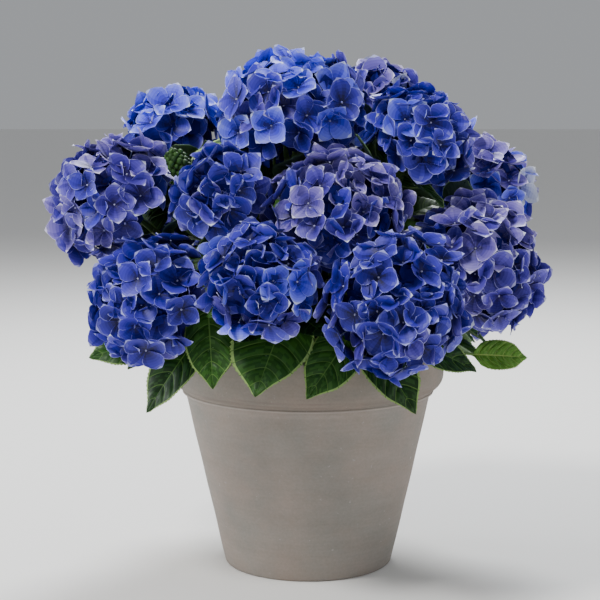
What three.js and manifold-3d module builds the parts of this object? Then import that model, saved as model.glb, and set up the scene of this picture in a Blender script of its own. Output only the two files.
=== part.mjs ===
import * as THREE from 'three';
import Module from 'manifold-3d';

// Mophead hydrangea in a terracotta pot. Millimetres, Z up, origin at the centre of the pot's
// flat underside. Azimuth 0 faces the front (-Y) and turns toward +X.

const wasm = await Module();
wasm.setup();
const { Manifold, Mesh } = wasm;

const DEG = Math.PI / 180;
const UP = new THREE.Vector3(0, 0, 1);
const CLEAR = 0.3;

// Pot: a tapered body under a plain broad band
const POT_HEIGHT = 229;
const RIM_RADIUS = 140;
const BAND_HEIGHT = 49;
const BAND_UNDERSIDE = 132;
const BODY_TOP_RADIUS = 127;
const FOOT_RADIUS = 87;
const FOOT_ROUND = 3;
const WALL = 11;
const FLOOR = 15;
const POT_SEGMENTS = 36;

// Soil
const SOIL_TOP = 207;
const SOIL_PLATEAU = 72;
const SOIL_EDGE_DROP = 5;
const SOIL_LUMP = 2.5;

// Flower heads: azimuth, lift and reach from the crown's centre, then radius
const CROWN_CENTRE = new THREE.Vector3(0, 0, 299);
const LEAN_CENTRE = new THREE.Vector3(0, 0, 215);
const HEADS = [
  { name: 'head_top', az: -25, lift: 77, reach: 171, radius: 75 },
  { name: 'head_top_left', az: -113, lift: 43, reach: 212, radius: 58 },
  { name: 'head_left', az: -75, lift: 22, reach: 215, radius: 68 },
  { name: 'head_centre_left', az: -32, lift: 30, reach: 183, radius: 48 },
  { name: 'head_lower_left', az: -54, lift: -4, reach: 187, radius: 67 },
  { name: 'head_centre', az: 12, lift: 28, reach: 140, radius: 73 },
  { name: 'head_lower_centre', az: -13, lift: 4, reach: 185, radius: 58 },
  { name: 'head_lower_right', az: 23, lift: -2, reach: 196, radius: 72 },
  { name: 'head_upper_right', az: 61, lift: 49, reach: 188, radius: 60 },
  { name: 'head_top_right', az: 129, lift: 63, reach: 204, radius: 48 },
  { name: 'head_right', az: 70, lift: 5, reach: 179, radius: 74 },
  { name: 'head_far_right', az: 102, lift: 25, reach: 212, radius: 55 },
  { name: 'head_back_right', az: 117, lift: -4, reach: 186, radius: 66 },
  { name: 'head_back_lower', az: 161, lift: -3, reach: 186, radius: 69 },
  { name: 'head_back_lower_left', az: -155, lift: -3, reach: 188, radius: 70 },
  { name: 'head_back_left', az: -107, lift: -3, reach: 180, radius: 62 },
  { name: 'head_back_mid_right', az: 141, lift: 30, reach: 194, radius: 65 },
  { name: 'head_back', az: -178, lift: 33, reach: 190, radius: 64 },
  { name: 'head_back_mid_left', az: -135, lift: 27, reach: 190, radius: 64 },
  { name: 'head_back_top', az: -160, lift: 63, reach: 182, radius: 64 },
];
const HEAD_FLATTEN = 0.87;
const UNDERSIDE_FLATTEN = 0.62;
const COVERED_ANGLE = 107 * DEG;
const HEAD_GAP = 1.2;
const CORE_SHARE = 0.84;

// Florets: four broad sepals in a shallow bowl, one bowl every FLORET_PITCH
const FLORET_PITCH = 44;
const FLORET_REACH = 20;
const FLORET_DISH = 6;
const FLORET_TILT = 0.16;
const APEX_SUNK = 2;

// Canes and the stalks that carry the heads
const STALK_RADIUS = 3.2;
const STALK_LENGTH = 15;
const CANE_FOOT_RADIUS = 5.4;
const SHOOT_FOOT_RADIUS = 4.2;
const TUBE_SIDES = 5;
const TUBE_STEPS = 6;
const CANES = [0, 2, 5, 7, 8, 13, 14];
const SHOOTS = [
  { head: 1, cane: 2, at: 0.3 },
  { head: 3, cane: 0, at: 0.28 },
  { head: 4, cane: 2, at: 0.16 },
  { head: 6, cane: 5, at: 0.22 },
  { head: 9, cane: 8, at: 0.34 },
  { head: 10, cane: 8, at: 0.2 },
  { head: 11, cane: 8, at: 0.26 },
  { head: 12, cane: 13, at: 0.2 },
  { head: 15, cane: 14, at: 0.2 },
  { head: 16, cane: 13, at: 0.3 },
  { head: 17, cane: 0, at: 0.36 },
  { head: 18, cane: 14, at: 0.3 },
  { head: 19, cane: 0, at: 0.44 },
];

// Leaves: broad, pointed and a little folded, three stations of half-width along the blade
const LEAF_STATIONS = [
  { at: 0.2, width: 0.78 },
  { at: 0.46, width: 1 },
  { at: 0.76, width: 0.6 },
];
const LEAF_THICKNESS = 1.6;
const LEAF_FOLD = 0.16;
const LEAF_LOOK = 38;
const LEAF_TRIES = 14;
const LEAF_SHRINK = 0.035;
const LEAF_ROOM = 0.6;
const FORK_VOLUME = 60;
const TWIG_RADIUS = 2.2;
const PETIOLE_RADIUS = 1.6;
const TWIG_SIDES = 4;

// Leaf sprays grow from a limb's bark. A leaf's tip stands at an azimuth, reach and height, and its
// blade points along turn and dip. The front sprays are set leaf by leaf, the others by rule.
const FRONT_SPRAYS = [
  {
    name: 'leaves_front_left',
    limb: 4,
    at: 0.62,
    leaves: [
      { az: -52, reach: 197, z: 178, turn: -74, dip: 50, length: 100, width: 52, look: -15 },
      { az: -30, reach: 178, z: 207, turn: 10, dip: 60, length: 84, width: 48, look: -10 },
    ],
  },
  {
    name: 'leaves_front',
    limb: 6,
    at: 0.45,
    leaves: [
      { az: -14.5, reach: 194, z: 206, turn: -30, dip: 46, length: 96, width: 78, look: -10 },
      { az: -22, reach: 177, z: 234, turn: -10, dip: 44, length: 54, width: 38, look: 0 },
      { az: 8, reach: 164, z: 240, turn: 16, dip: 34, length: 84, width: 60, look: 0 },
    ],
  },
  {
    name: 'leaves_front_right',
    limb: 7,
    at: 0.5,
    leaves: [
      { az: -0.5, reach: 188, z: 204, turn: -44, dip: 42, length: 92, width: 48, look: 5 },
      { az: 31, reach: 194, z: 186, turn: 58, dip: 50, length: 100, width: 54, look: 15 },
    ],
  },
  {
    name: 'leaves_right',
    limb: 10,
    at: 0.5,
    leaves: [
      { az: 57, reach: 194, z: 215, turn: 96, dip: 22, length: 92, width: 48, look: 25 },
      { az: 74.5, reach: 226, z: 222, turn: 98, dip: 3, length: 76, width: 42, look: 20 },
    ],
  },
  {
    name: 'leaves_left',
    limb: 15,
    at: 0.55,
    leaves: [
      { az: -81, reach: 213, z: 224, turn: -84, dip: 22, length: 84, width: 46, look: -45 },
      { az: -64, reach: 196, z: 214, turn: -60, dip: 36, length: 84, width: 50, look: -40 },
    ],
  },
];
const SKIRT_SPRAYS = [
  { limb: 12, at: 0.5, az: 94 },
  { limb: 12, at: 0.35, az: 128 },
  { limb: 13, at: 0.45, az: 164 },
  { limb: 14, at: 0.55, az: -174 },
  { limb: 14, at: 0.45, az: -138 },
  { limb: 15, at: 0.65, az: -90 },
];
const SKIRT_LEAF = { reach: 194, z: 207, dip: 32, length: 96, width: 60, spread: 12 };
const GAP_SPRAYS = [
  { limb: 3, at: 0.6, az: -60, lift: 42 },
  { limb: 1, at: 0.45, az: -95, lift: 12 },
  { limb: 6, at: 0.6, az: -34, lift: 8 },
  { limb: 5, at: 0.45, az: 50, lift: 14 },
  { limb: 11, at: 0.6, az: 108, lift: 40 },
  { limb: 18, at: 0.55, az: -130, lift: 4 },
  { limb: 16, at: 0.45, az: 134, lift: 8 },
];
const GAP_LEAF = { reach: 174, dip: 42, length: 90, width: 58, spread: 11 };

function seeded(seed) {
  let state = seed >>> 0;
  return () => {
    state = (state + 0x6d2b79f5) >>> 0;
    let t = state;
    t = Math.imul(t ^ (t >>> 15), t | 1);
    t ^= t + Math.imul(t ^ (t >>> 7), t | 61);
    return ((t ^ (t >>> 14)) >>> 0) / 4294967296;
  };
}

function between(random, low, high) {
  return low + (high - low) * random();
}

function heading(azimuth, lift) {
  const a = azimuth * DEG;
  const e = lift * DEG;
  return new THREE.Vector3(Math.sin(a) * Math.cos(e), -Math.cos(a) * Math.cos(e), Math.sin(e));
}

function squareTo(axis) {
  const away = Math.abs(axis.z) < 0.9 ? UP : new THREE.Vector3(1, 0, 0);
  const side = new THREE.Vector3().crossVectors(away, axis).normalize();
  return [side, new THREE.Vector3().crossVectors(axis, side)];
}

function solid(points, faces) {
  const vertProperties = new Float32Array(points.length * 3);
  points.forEach((p, i) => vertProperties.set([p.x, p.y, p.z], i * 3));
  const mesh = new Mesh({ numProp: 3, vertProperties, triVerts: new Uint32Array(faces.flat()) });
  return new Manifold(mesh);
}

function toGeometry(body) {
  const mesh = body.getMesh();
  const geometry = new THREE.BufferGeometry();
  geometry.setAttribute('position', new THREE.BufferAttribute(Float32Array.from(mesh.vertProperties), 3));
  geometry.setIndex(new THREE.BufferAttribute(Uint32Array.from(mesh.triVerts), 1));
  return geometry;
}

// A closed solid turned round the Z axis; the profile runs up the outside from the axis and ends on it
function turned(profile, segments, ripple) {
  const points = [];
  const faces = [];
  const rings = profile.map(([radius, z]) => {
    if (radius === 0) {
      points.push(new THREE.Vector3(0, 0, z));
      return [points.length - 1];
    }
    const ring = [];
    for (let i = 0; i < segments; i += 1) {
      const a = (2 * Math.PI * i) / segments;
      const lift = ripple ? ripple(radius, a) : 0;
      points.push(new THREE.Vector3(radius * Math.cos(a), radius * Math.sin(a), z + lift));
      ring.push(points.length - 1);
    }
    return ring;
  });
  for (let k = 0; k + 1 < rings.length; k += 1) {
    const low = rings[k];
    const high = rings[k + 1];
    for (let i = 0; i < segments; i += 1) {
      const j = (i + 1) % segments;
      if (low.length > 1) {
        faces.push([low[i], low[j], high[high.length > 1 ? j : 0]]);
      }
      if (high.length > 1) {
        faces.push([low[low.length > 1 ? i : 0], high[j], high[i]]);
      }
    }
  }
  return solid(points, faces);
}

function wallRadius(z) {
  const bodyTop = POT_HEIGHT - BAND_HEIGHT;
  return FOOT_RADIUS + ((BODY_TOP_RADIUS - FOOT_RADIUS) * z) / bodyTop - WALL;
}

function potBody() {
  const bodyTop = POT_HEIGHT - BAND_HEIGHT;
  const mouth = RIM_RADIUS - WALL - 1;
  return turned([
    [0, 0],
    [FOOT_RADIUS - FOOT_ROUND, 0],
    [FOOT_RADIUS, FOOT_ROUND],
    [BODY_TOP_RADIUS, bodyTop],
    [BAND_UNDERSIDE, bodyTop + 1.5],
    [RIM_RADIUS - 4, bodyTop + 6],
    [RIM_RADIUS - 0.8, bodyTop + 15],
    [RIM_RADIUS, bodyTop + 22],
    [RIM_RADIUS, POT_HEIGHT - 1.5],
    [RIM_RADIUS - 1.5, POT_HEIGHT],
    [mouth + 1.5, POT_HEIGHT],
    [mouth, POT_HEIGHT - 1.5],
    [wallRadius(bodyTop), bodyTop - 8],
    [wallRadius(FLOOR), FLOOR],
    [0, FLOOR],
  ], POT_SEGMENTS);
}

// The mouth's inner wall runs straight from its lip down to the body's wall
function mouthRadius(z) {
  const low = POT_HEIGHT - BAND_HEIGHT - 8;
  const high = POT_HEIGHT - 1.5;
  const lowRadius = wallRadius(POT_HEIGHT - BAND_HEIGHT);
  const highRadius = RIM_RADIUS - WALL - 1;
  return lowRadius + ((highRadius - lowRadius) * (z - low)) / (high - low);
}

function soilBody() {
  const random = seeded(11);
  const lumps = [];
  for (let i = 0; i < POT_SEGMENTS; i += 1) {
    lumps.push(between(random, -SOIL_LUMP, SOIL_LUMP));
  }
  const bend = POT_HEIGHT - BAND_HEIGHT - 8;
  const edgeTop = SOIL_TOP - SOIL_EDGE_DROP - SOIL_LUMP;
  const ring = (SOIL_PLATEAU + mouthRadius(edgeTop)) / 2;
  const ripple = (radius, a) => {
    const i = Math.round((a / (2 * Math.PI)) * POT_SEGMENTS) % POT_SEGMENTS;
    return Math.abs(radius - ring) < 1e-6 ? lumps[i] : 0;
  };
  return turned([
    [0, FLOOR + CLEAR],
    [wallRadius(FLOOR) - CLEAR - 0.2, FLOOR + CLEAR],
    [wallRadius(bend + 8) - CLEAR - 0.2, bend],
    [mouthRadius(edgeTop) - CLEAR - 0.2, edgeTop],
    [ring, SOIL_TOP - SOIL_EDGE_DROP / 2],
    [SOIL_PLATEAU, SOIL_TOP],
    [0, SOIL_TOP],
  ], POT_SEGMENTS, ripple);
}

// A head's own space: a dome about its axis, flatter below
function layOutHead(row) {
  const centre = heading(row.az, row.lift).multiplyScalar(row.reach).add(CROWN_CENTRE);
  const axis = centre.clone().sub(LEAN_CENTRE).normalize();
  return { ...row, centre, axis, walls: [] };
}

function reachAlong(head, direction) {
  const along = direction.dot(head.axis);
  const across = Math.sqrt(Math.max(0, 1 - along * along));
  const polar = head.radius * (along > 0 ? HEAD_FLATTEN : UNDERSIDE_FLATTEN);
  return 1 / Math.hypot(across / head.radius, along / polar);
}

// Where two heads press together, a wall half way between keeps them apart
function shareSpace(heads) {
  for (const head of heads) {
    for (const other of heads) {
      const apart = other.centre.clone().sub(head.centre);
      const distance = apart.length();
      if (other !== head && distance < head.radius + other.radius + 2 * HEAD_GAP) {
        const at = (distance ** 2 + head.radius ** 2 - other.radius ** 2) / (2 * distance);
        head.walls.push({ normal: apart.divideScalar(distance), at: at - HEAD_GAP });
      }
    }
  }
}

function inside(head, offset) {
  return head.walls.every((wall) => offset.dot(wall.normal) <= wall.at);
}

function coreShape(head) {
  const ball = new THREE.IcosahedronGeometry(1, 0);
  const points = [];
  const index = [];
  const seen = new Map();
  const position = ball.getAttribute('position');
  for (let i = 0; i < position.count; i += 1) {
    const direction = new THREE.Vector3().fromBufferAttribute(position, i).normalize();
    const key = direction.toArray().map((v) => v.toFixed(4)).join();
    if (!seen.has(key)) {
      let reach = reachAlong(head, direction) * CORE_SHARE;
      for (const wall of head.walls) {
        const toward = direction.dot(wall.normal);
        if (toward > 0) {
          reach = Math.min(reach, wall.at / toward);
        }
      }
      seen.set(key, points.length);
      points.push(direction.multiplyScalar(reach).add(head.centre));
    }
    index.push(seen.get(key));
  }
  const faces = [];
  for (let i = 0; i < index.length; i += 3) {
    faces.push(index.slice(i, i + 3));
  }
  return { points, faces };
}

function skinReach(head, core, direction) {
  const ray = new THREE.Ray(head.centre, direction);
  const hit = new THREE.Vector3();
  for (const face of core.faces) {
    const [a, b, c] = face.map((i) => core.points[i]);
    if (ray.intersectTriangle(a, b, c, false, hit)) {
      return hit.distanceTo(head.centre);
    }
  }
  return 0;
}

// One floret: four corners, a dished middle and an apex sunk in the head
function floretShape(head, direction, height, root, random) {
  const tilt = new THREE.Vector3(between(random, -1, 1), between(random, -1, 1), between(random, -1, 1));
  const facing = direction.clone().addScaledVector(tilt, FLORET_TILT).normalize();
  const [side, other] = squareTo(facing);
  const turn = between(random, 0, Math.PI / 2);
  const middle = direction.clone().multiplyScalar(height);
  const corners = [];
  for (let i = 0; i < 4; i += 1) {
    const a = turn + (i * Math.PI) / 2;
    const reach = FLORET_REACH * between(random, 0.92, 1.06);
    const corner = middle.clone();
    corner.addScaledVector(side, reach * Math.cos(a)).addScaledVector(other, reach * Math.sin(a));
    corners.push(corner);
  }
  const dish = middle.clone().addScaledVector(facing, -FLORET_DISH);
  const apex = direction.clone().multiplyScalar(root);
  const points = [...corners, dish, apex];
  const fits = points.every((p) => inside(head, p));
  const faces = [];
  for (let i = 0; i < 4; i += 1) {
    const j = (i + 1) % 4;
    faces.push([i, j, 4], [j, i, 5]);
  }
  return { fits, points: points.map((p) => p.add(head.centre)), faces };
}

function floretDirections(head, pitch) {
  const area = 2 * Math.PI * head.radius ** 2 * (1 - Math.cos(COVERED_ANGLE));
  const count = Math.round(area / (0.87 * pitch * pitch));
  const [side, other] = squareTo(head.axis);
  const golden = Math.PI * (3 - Math.sqrt(5));
  const directions = [];
  for (let i = 0; i < count; i += 1) {
    const along = 1 - ((i + 0.5) / count) * (1 - Math.cos(COVERED_ANGLE));
    const across = Math.sqrt(1 - along * along);
    const direction = head.axis.clone().multiplyScalar(along);
    direction.addScaledVector(side, across * Math.cos(i * golden));
    direction.addScaledVector(other, across * Math.sin(i * golden));
    directions.push(direction);
  }
  return directions;
}

function headBody(head, number) {
  const random = seeded(101 + number);
  const core = coreShape(head);
  const parts = [solid(core.points, core.faces)];
  for (const direction of floretDirections(head, FLORET_PITCH)) {
    const full = reachAlong(head, direction);
    const rim = Math.sqrt(full * full - FLORET_REACH * FLORET_REACH);
    const skin = skinReach(head, core, direction);
    const lowest = skin + FLORET_DISH + 1;
    const start = Math.floor(random() * 1e9);
    for (let height = rim; height > lowest; height -= 2) {
      const floret = floretShape(head, direction, height, skin - APEX_SUNK, seeded(start));
      if (floret.fits) {
        parts.push(solid(floret.points, floret.faces));
        break;
      }
    }
  }
  const foot = stalkFoot(head);
  parts.push(tube([head.centre.clone().addScaledVector(head.axis, -0.2 * head.radius), foot],
    () => STALK_RADIUS, 6));
  return Manifold.union(parts);
}

function stalkFoot(head) {
  const below = head.radius * UNDERSIDE_FLATTEN * CORE_SHARE + STALK_LENGTH;
  return head.centre.clone().addScaledVector(head.axis, -below);
}

// A round limb along a run of points, cut square at both ends unless the cuts are given
function tube(path, radiusAt, sides, firstCut, lastCut) {
  const points = [];
  const faces = [];
  let [side] = squareTo(path[1].clone().sub(path[0]).normalize());
  path.forEach((centre, k) => {
    const before = path[Math.max(0, k - 1)];
    const after = path[Math.min(path.length - 1, k + 1)];
    let axis = after.clone().sub(before).normalize();
    if (k === 0 && firstCut) {
      axis = firstCut.clone();
    }
    if (k === path.length - 1 && lastCut) {
      axis = lastCut.clone();
    }
    side = side.clone().addScaledVector(axis, -side.dot(axis)).normalize();
    const other = new THREE.Vector3().crossVectors(axis, side);
    const radius = radiusAt(k / (path.length - 1));
    for (let i = 0; i < sides; i += 1) {
      const a = (2 * Math.PI * i) / sides;
      const p = centre.clone().addScaledVector(side, radius * Math.cos(a));
      points.push(p.addScaledVector(other, radius * Math.sin(a)));
    }
  });
  for (let k = 0; k + 1 < path.length; k += 1) {
    for (let i = 0; i < sides; i += 1) {
      const j = (i + 1) % sides;
      const a = k * sides;
      const b = a + sides;
      faces.push([a + i, a + j, b + j], [a + i, b + j, b + i]);
    }
  }
  const last = (path.length - 1) * sides;
  for (let i = 1; i + 1 < sides; i += 1) {
    faces.push([0, i + 1, i], [last, last + i, last + i + 1]);
  }
  return solid(points, faces);
}

function bend(from, fromHeading, to, toHeading, steps) {
  const span = from.distanceTo(to);
  const first = from.clone().addScaledVector(fromHeading, span * 0.38);
  const second = to.clone().addScaledVector(toHeading, -span * 0.38);
  const curve = new THREE.CubicBezierCurve3(from, first, second, to);
  return curve.getPoints(steps);
}

function limbTip(head) {
  return stalkFoot(head).addScaledVector(head.axis, -CLEAR);
}

function caneLimb(head) {
  const foot = heading(head.az, 0).multiplyScalar(head.reach * Math.cos(head.lift * DEG) * 0.26);
  foot.z = SOIL_TOP + CLEAR;
  const rise = UP.clone().addScaledVector(heading(head.az, 0), 0.35).normalize();
  const path = bend(foot, rise, limbTip(head), head.axis, TUBE_STEPS);
  const radiusAt = (t) => CANE_FOOT_RADIUS + (STALK_RADIUS - CANE_FOOT_RADIUS) * t;
  return { path, radiusAt, body: tube(path, radiusAt, TUBE_SIDES, UP, head.axis) };
}

function alongPath(path, t) {
  const at = t * (path.length - 1);
  const k = Math.min(path.length - 2, Math.floor(at));
  return {
    point: path[k].clone().lerp(path[k + 1], at - k),
    axis: path[k + 1].clone().sub(path[k]).normalize(),
  };
}

// A side shoot starts on its cane's bark, cut to the cane's round with a hair's gap
function shootLimb(head, cane, at) {
  const { point, axis } = alongPath(cane.path, at);
  const tip = limbTip(head);
  const away = tip.clone().sub(point);
  away.addScaledVector(axis, -away.dot(axis)).normalize();
  const out = away.clone().addScaledVector(axis, 0.9).normalize();
  const path = bend(point, out, tip, head.axis, TUBE_STEPS);
  const radiusAt = (t) => SHOOT_FOOT_RADIUS + (STALK_RADIUS - SHOOT_FOOT_RADIUS) * t;
  const whole = tube(path, radiusAt, TUBE_SIDES, out, head.axis);
  const sleeve = tube(cane.path, (t) => cane.radiusAt(t) + CLEAR + 0.1, TUBE_SIDES);
  const pieces = whole.subtract(sleeve).decompose();
  pieces.sort((a, b) => b.volume() - a.volume());
  return { path, radiusAt, body: pieces[0] };
}

// A leaf that finds no room is tried again, a little smaller each time
function leafTry(spray, k, attempt) {
  const share = 1 - LEAF_SHRINK * attempt;
  const random = seeded(spray.seed + 20 * k + (spray.leaves ? 0 : attempt));
  const row = spray.leaves ? spray.leaves[k] : spray.rule(spray, k, random);
  const along = heading(row.turn, -row.dip);
  const tip = heading(row.az, 0).multiplyScalar(row.reach);
  tip.z = row.z;
  const face = heading(row.look, LEAF_LOOK);
  face.addScaledVector(along, -face.dot(along)).normalize();
  face.applyAxisAngle(along, between(random, -15, 15) * DEG);
  return {
    along,
    tip,
    face,
    side: new THREE.Vector3().crossVectors(along, face),
    droop: between(random, 0.05, 0.11),
    length: row.length * share,
    width: row.width * share,
  };
}

// Midrib line: straight along the blade, then drooping toward the tip
function leafPoint(leaf, at, across, raise) {
  const sag = leaf.droop * leaf.length * (at * at - 1);
  const point = leaf.tip.clone().addScaledVector(leaf.along, (at - 1) * leaf.length);
  return point.addScaledVector(leaf.side, across).addScaledVector(leaf.face, raise - sag);
}

// A leaf with its petiole, swept as one four-cornered skin from the fork to the tip
function leafBody(fork, out, leaf) {
  const base = leafPoint(leaf, 0, 0, 0);
  const into = leafPoint(leaf, 0.1, 0, 0).sub(base).normalize();
  const start = fork.clone().addScaledVector(out, -2);
  const first = base.clone().sub(fork).normalize().addScaledVector(out, 0.3).normalize();
  const path = bend(start, first, base, into, 2);
  const stem = [];
  let side = leaf.side.clone();
  for (let k = path.length - 1; k >= 0; k -= 1) {
    const axis = path[Math.min(k + 1, path.length - 1)].clone().sub(path[Math.max(k - 1, 0)]).normalize();
    side = side.clone().addScaledVector(axis, -side.dot(axis)).normalize();
    const top = new THREE.Vector3().crossVectors(side, axis);
    stem.unshift(
      path[k].clone().addScaledVector(side, -PETIOLE_RADIUS),
      path[k].clone().addScaledVector(top, PETIOLE_RADIUS),
      path[k].clone().addScaledVector(side, PETIOLE_RADIUS),
      path[k].clone().addScaledVector(top, -PETIOLE_RADIUS),
    );
  }
  const blade = LEAF_STATIONS.flatMap(({ at, width }) => {
    const half = (leaf.width / 2) * width;
    return [
      leafPoint(leaf, at, -half, half * LEAF_FOLD),
      leafPoint(leaf, at, 0, LEAF_THICKNESS / 2),
      leafPoint(leaf, at, half, half * LEAF_FOLD),
      leafPoint(leaf, at, 0, -LEAF_THICKNESS / 2),
    ];
  });
  const points = [...stem, ...blade, leafPoint(leaf, 1, 0, 0)];
  const last = points.length - 1;
  const faces = [[0, 2, 1], [0, 3, 2]];
  for (let i = 0; i < 4; i += 1) {
    const j = (i + 1) % 4;
    for (let a = 0; a + 4 < last; a += 4) {
      faces.push([a + i, a + j, a + 4 + j], [a + i, a + 4 + j, a + 4 + i]);
    }
    faces.push([last - 4 + i, last - 4 + j, last]);
  }
  return solid(points, faces);
}

const SKIRT_SIDES = [-1.5, 1.5, -0.5, 0.5];
const GAP_SIDES = [-1, 1, 0, 1.8];

function skirtLeaf(row, k, random) {
  const side = SKIRT_SIDES[k];
  return {
    az: row.az + side * SKIRT_LEAF.spread + between(random, -5, 5),
    reach: SKIRT_LEAF.reach + between(random, -12, 10),
    z: SKIRT_LEAF.z + between(random, -14, 10) + (Math.abs(side) < 1 ? 14 : 0),
    turn: row.az + side * 26 + between(random, -14, 14),
    dip: SKIRT_LEAF.dip + between(random, -14, 10),
    length: SKIRT_LEAF.length + between(random, -12, 8),
    width: SKIRT_LEAF.width + between(random, -8, 8),
    look: row.az + side * 8,
  };
}

function gapLeaf(row, k, random) {
  const side = GAP_SIDES[k];
  const az = row.az + side * GAP_LEAF.spread + between(random, -6, 6);
  const lift = row.lift + between(random, -12, 12);
  const tip = heading(az, lift).multiplyScalar(GAP_LEAF.reach).add(CROWN_CENTRE);
  return {
    az,
    reach: Math.hypot(tip.x, tip.y),
    z: tip.z,
    turn: az + side * 20 + between(random, -20, 20),
    dip: GAP_LEAF.dip - row.lift + between(random, -16, 16),
    length: GAP_LEAF.length + between(random, -14, 8),
    width: GAP_LEAF.width + between(random, -8, 8),
    look: az,
  };
}

function clearOf(body, others, room) {
  return others.every((other) => body.minGap(other, room * 2) >= room);
}

function sprayBody(spray, limb, obstacles) {
  const { point, axis } = alongPath(limb.path, spray.at);
  const middle = new THREE.Vector3();
  for (let k = 0; k < spray.count; k += 1) {
    middle.addScaledVector(leafPoint(leafTry(spray, k, 0), 0, 0, 0), 1 / spray.count);
  }
  const out = middle.sub(point);
  out.addScaledVector(axis, -0.8 * out.dot(axis)).normalize();
  const fork = point.clone().addScaledVector(out, 14);
  const parts = [tube([point, fork], () => TWIG_RADIUS, TWIG_SIDES)];
  for (let k = 0; k < spray.count; k += 1) {
    for (let attempt = 0; attempt < LEAF_TRIES; attempt += 1) {
      const leaf = leafTry(spray, k, attempt);
      const body = leafBody(fork, out, leaf);
      const crossed = parts.some((part) => part.intersect(body).volume() > FORK_VOLUME);
      if (!crossed && clearOf(body, obstacles, LEAF_ROOM)) {
        parts.push(body);
        break;
      }
    }
  }
  const sleeve = tube(limb.path, (t) => limb.radiusAt(t) + CLEAR + 0.1, TUBE_SIDES);
  const pieces = Manifold.union(parts).subtract(sleeve).decompose();
  pieces.sort((a, b) => b.volume() - a.volume());
  return pieces[0];
}

const heads = HEADS.map(layOutHead);
shareSpace(heads);

const limbs = new Map();
for (const number of CANES) {
  limbs.set(number, caneLimb(heads[number]));
}
for (const row of SHOOTS) {
  limbs.set(row.head, shootLimb(heads[row.head], limbs.get(row.cane), row.at));
}

const group = new THREE.Group();

function add(name, body, colour, roughness) {
  const material = new THREE.MeshStandardMaterial({ color: colour, roughness, metalness: 0 });
  const mesh = new THREE.Mesh(toGeometry(body), material);
  mesh.name = name;
  group.add(mesh);
}

const pot = potBody();
const soil = soilBody();
const headBodies = heads.map(headBody);
add('pot', pot, 0x8d8279, 0.85);
add('soil', soil, 0x32261c, 0.95);
heads.forEach((head, number) => {
  const kind = CANES.includes(number) ? 'cane_' : 'shoot_';
  add(kind + head.name.slice(5), limbs.get(number).body, 0x5f7040, 0.6);
  add(head.name, headBodies[number], 0x3b45b5, 0.7);
});
const standing = [pot, soil, ...headBodies, ...[...limbs.values()].map((limb) => limb.body)];
const sprays = [
  ...FRONT_SPRAYS.map((row) => ({ ...row, count: row.leaves.length })),
  ...SKIRT_SPRAYS.map((row, k) => (
    { ...row, name: `leaves_skirt_${k + 1}`, rule: skirtLeaf, count: 4 })),
  ...GAP_SPRAYS.map((row, k) => (
    { ...row, name: `leaves_inner_${k + 1}`, rule: gapLeaf, count: 4 })),
];
sprays.forEach((row, number) => {
  const spray = { ...row, seed: 1000 + 100 * number };
  const body = sprayBody(spray, limbs.get(row.limb), standing);
  standing.push(body);
  add(row.name, body, 0x2f5b2b, 0.6);
});

export default group;
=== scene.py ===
"""Mophead hydrangea in a terracotta pot: florets, leaves, canes, potting mix and pot, with their materials.

Shapes are worked out in millimetres, Z up, from the same named sizes as the part's source, and become
metres when a piece is made. Azimuth 0 faces the front (-Y) and turns toward +X.
"""

import math

import bpy
import numpy as np
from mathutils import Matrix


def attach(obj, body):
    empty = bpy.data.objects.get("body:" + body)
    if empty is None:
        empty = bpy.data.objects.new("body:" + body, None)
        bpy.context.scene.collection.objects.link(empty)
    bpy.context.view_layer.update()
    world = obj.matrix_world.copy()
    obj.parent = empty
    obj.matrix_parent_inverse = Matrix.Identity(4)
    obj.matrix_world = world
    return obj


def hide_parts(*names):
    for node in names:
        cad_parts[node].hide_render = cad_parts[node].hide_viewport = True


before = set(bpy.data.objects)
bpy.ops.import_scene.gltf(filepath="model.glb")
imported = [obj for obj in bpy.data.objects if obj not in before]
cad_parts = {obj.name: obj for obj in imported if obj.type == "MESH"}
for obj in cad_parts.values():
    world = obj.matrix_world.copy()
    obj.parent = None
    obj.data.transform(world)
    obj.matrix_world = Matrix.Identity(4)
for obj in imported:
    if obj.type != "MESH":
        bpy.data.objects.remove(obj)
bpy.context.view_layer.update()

MM = 0.001
UP = np.array([0.0, 0.0, 1.0])
GOLDEN_TURN = math.pi * (3 - math.sqrt(5))
CLEAR = 0.3

# Pot
POT_HEIGHT = 229
RIM_RADIUS = 140
RIM_ROUND = 2.4
BAND_HEIGHT = 49
# The band's round, with the heights of its centre and of the flat above it over the body's top
BAND_ROUND = 16
BAND_ROUND_AT = 18
BAND_FLAT_AT = 21
BODY_TOP = POT_HEIGHT - BAND_HEIGHT
BODY_TOP_RADIUS = 127
BODY_STEPS = 23
FOOT_RADIUS = 87
FOOT_ROUND = 3
FOOT_RING = 8
WALL = 11
FLOOR = 15
# Where the inside turns into the floor: up the wall and in from it
FLOOR_CORNER = (6, 5)
POT_SEGMENTS = 180
# The mouth inside the band: its radius at the rim, then how far under the body's top and under the rim it
# starts and stops widening
MOUTH_RADIUS = RIM_RADIUS - WALL - 1
MOUTH_LOW = 8
MOUTH_HIGH = 1.5
# Lip under the band: how far under the body's top it starts, then its steps outward and up from that top
LIP_START = 1.5
LIP = [(0.3, -1.8), (1.9, -1.6), (2.9, -0.8), (3.2, 0), (2.9, 0.7), (2.4, 1.2), (2.3, 1.9), (3.2, 2.6)]
# The part of the lip painted pale as a highlight, from the body's top
LIP_HIGHLIGHT = (-0.9, 0.6)
# Painted shade in the crease under the band, and the heights in metres between which it sets in and fades out
CREASE_SHADE = (0.5, 0.45, 0.41)
CREASE_SHADE_SETS_IN = (0.181, 0.1815)
CREASE_SHADE_FADES = (0.188, 0.199)
# The wheel's wobble: size, lobes round the pot and turn with height. The rings near the rim keep true
WOBBLES = [(0.25, 3, 0.03), (0.15, 7, -0.11)]
WOBBLE_SHARE = 0.9
WOBBLE_INSET = 0.4
TRUE_RIM = 4

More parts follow.
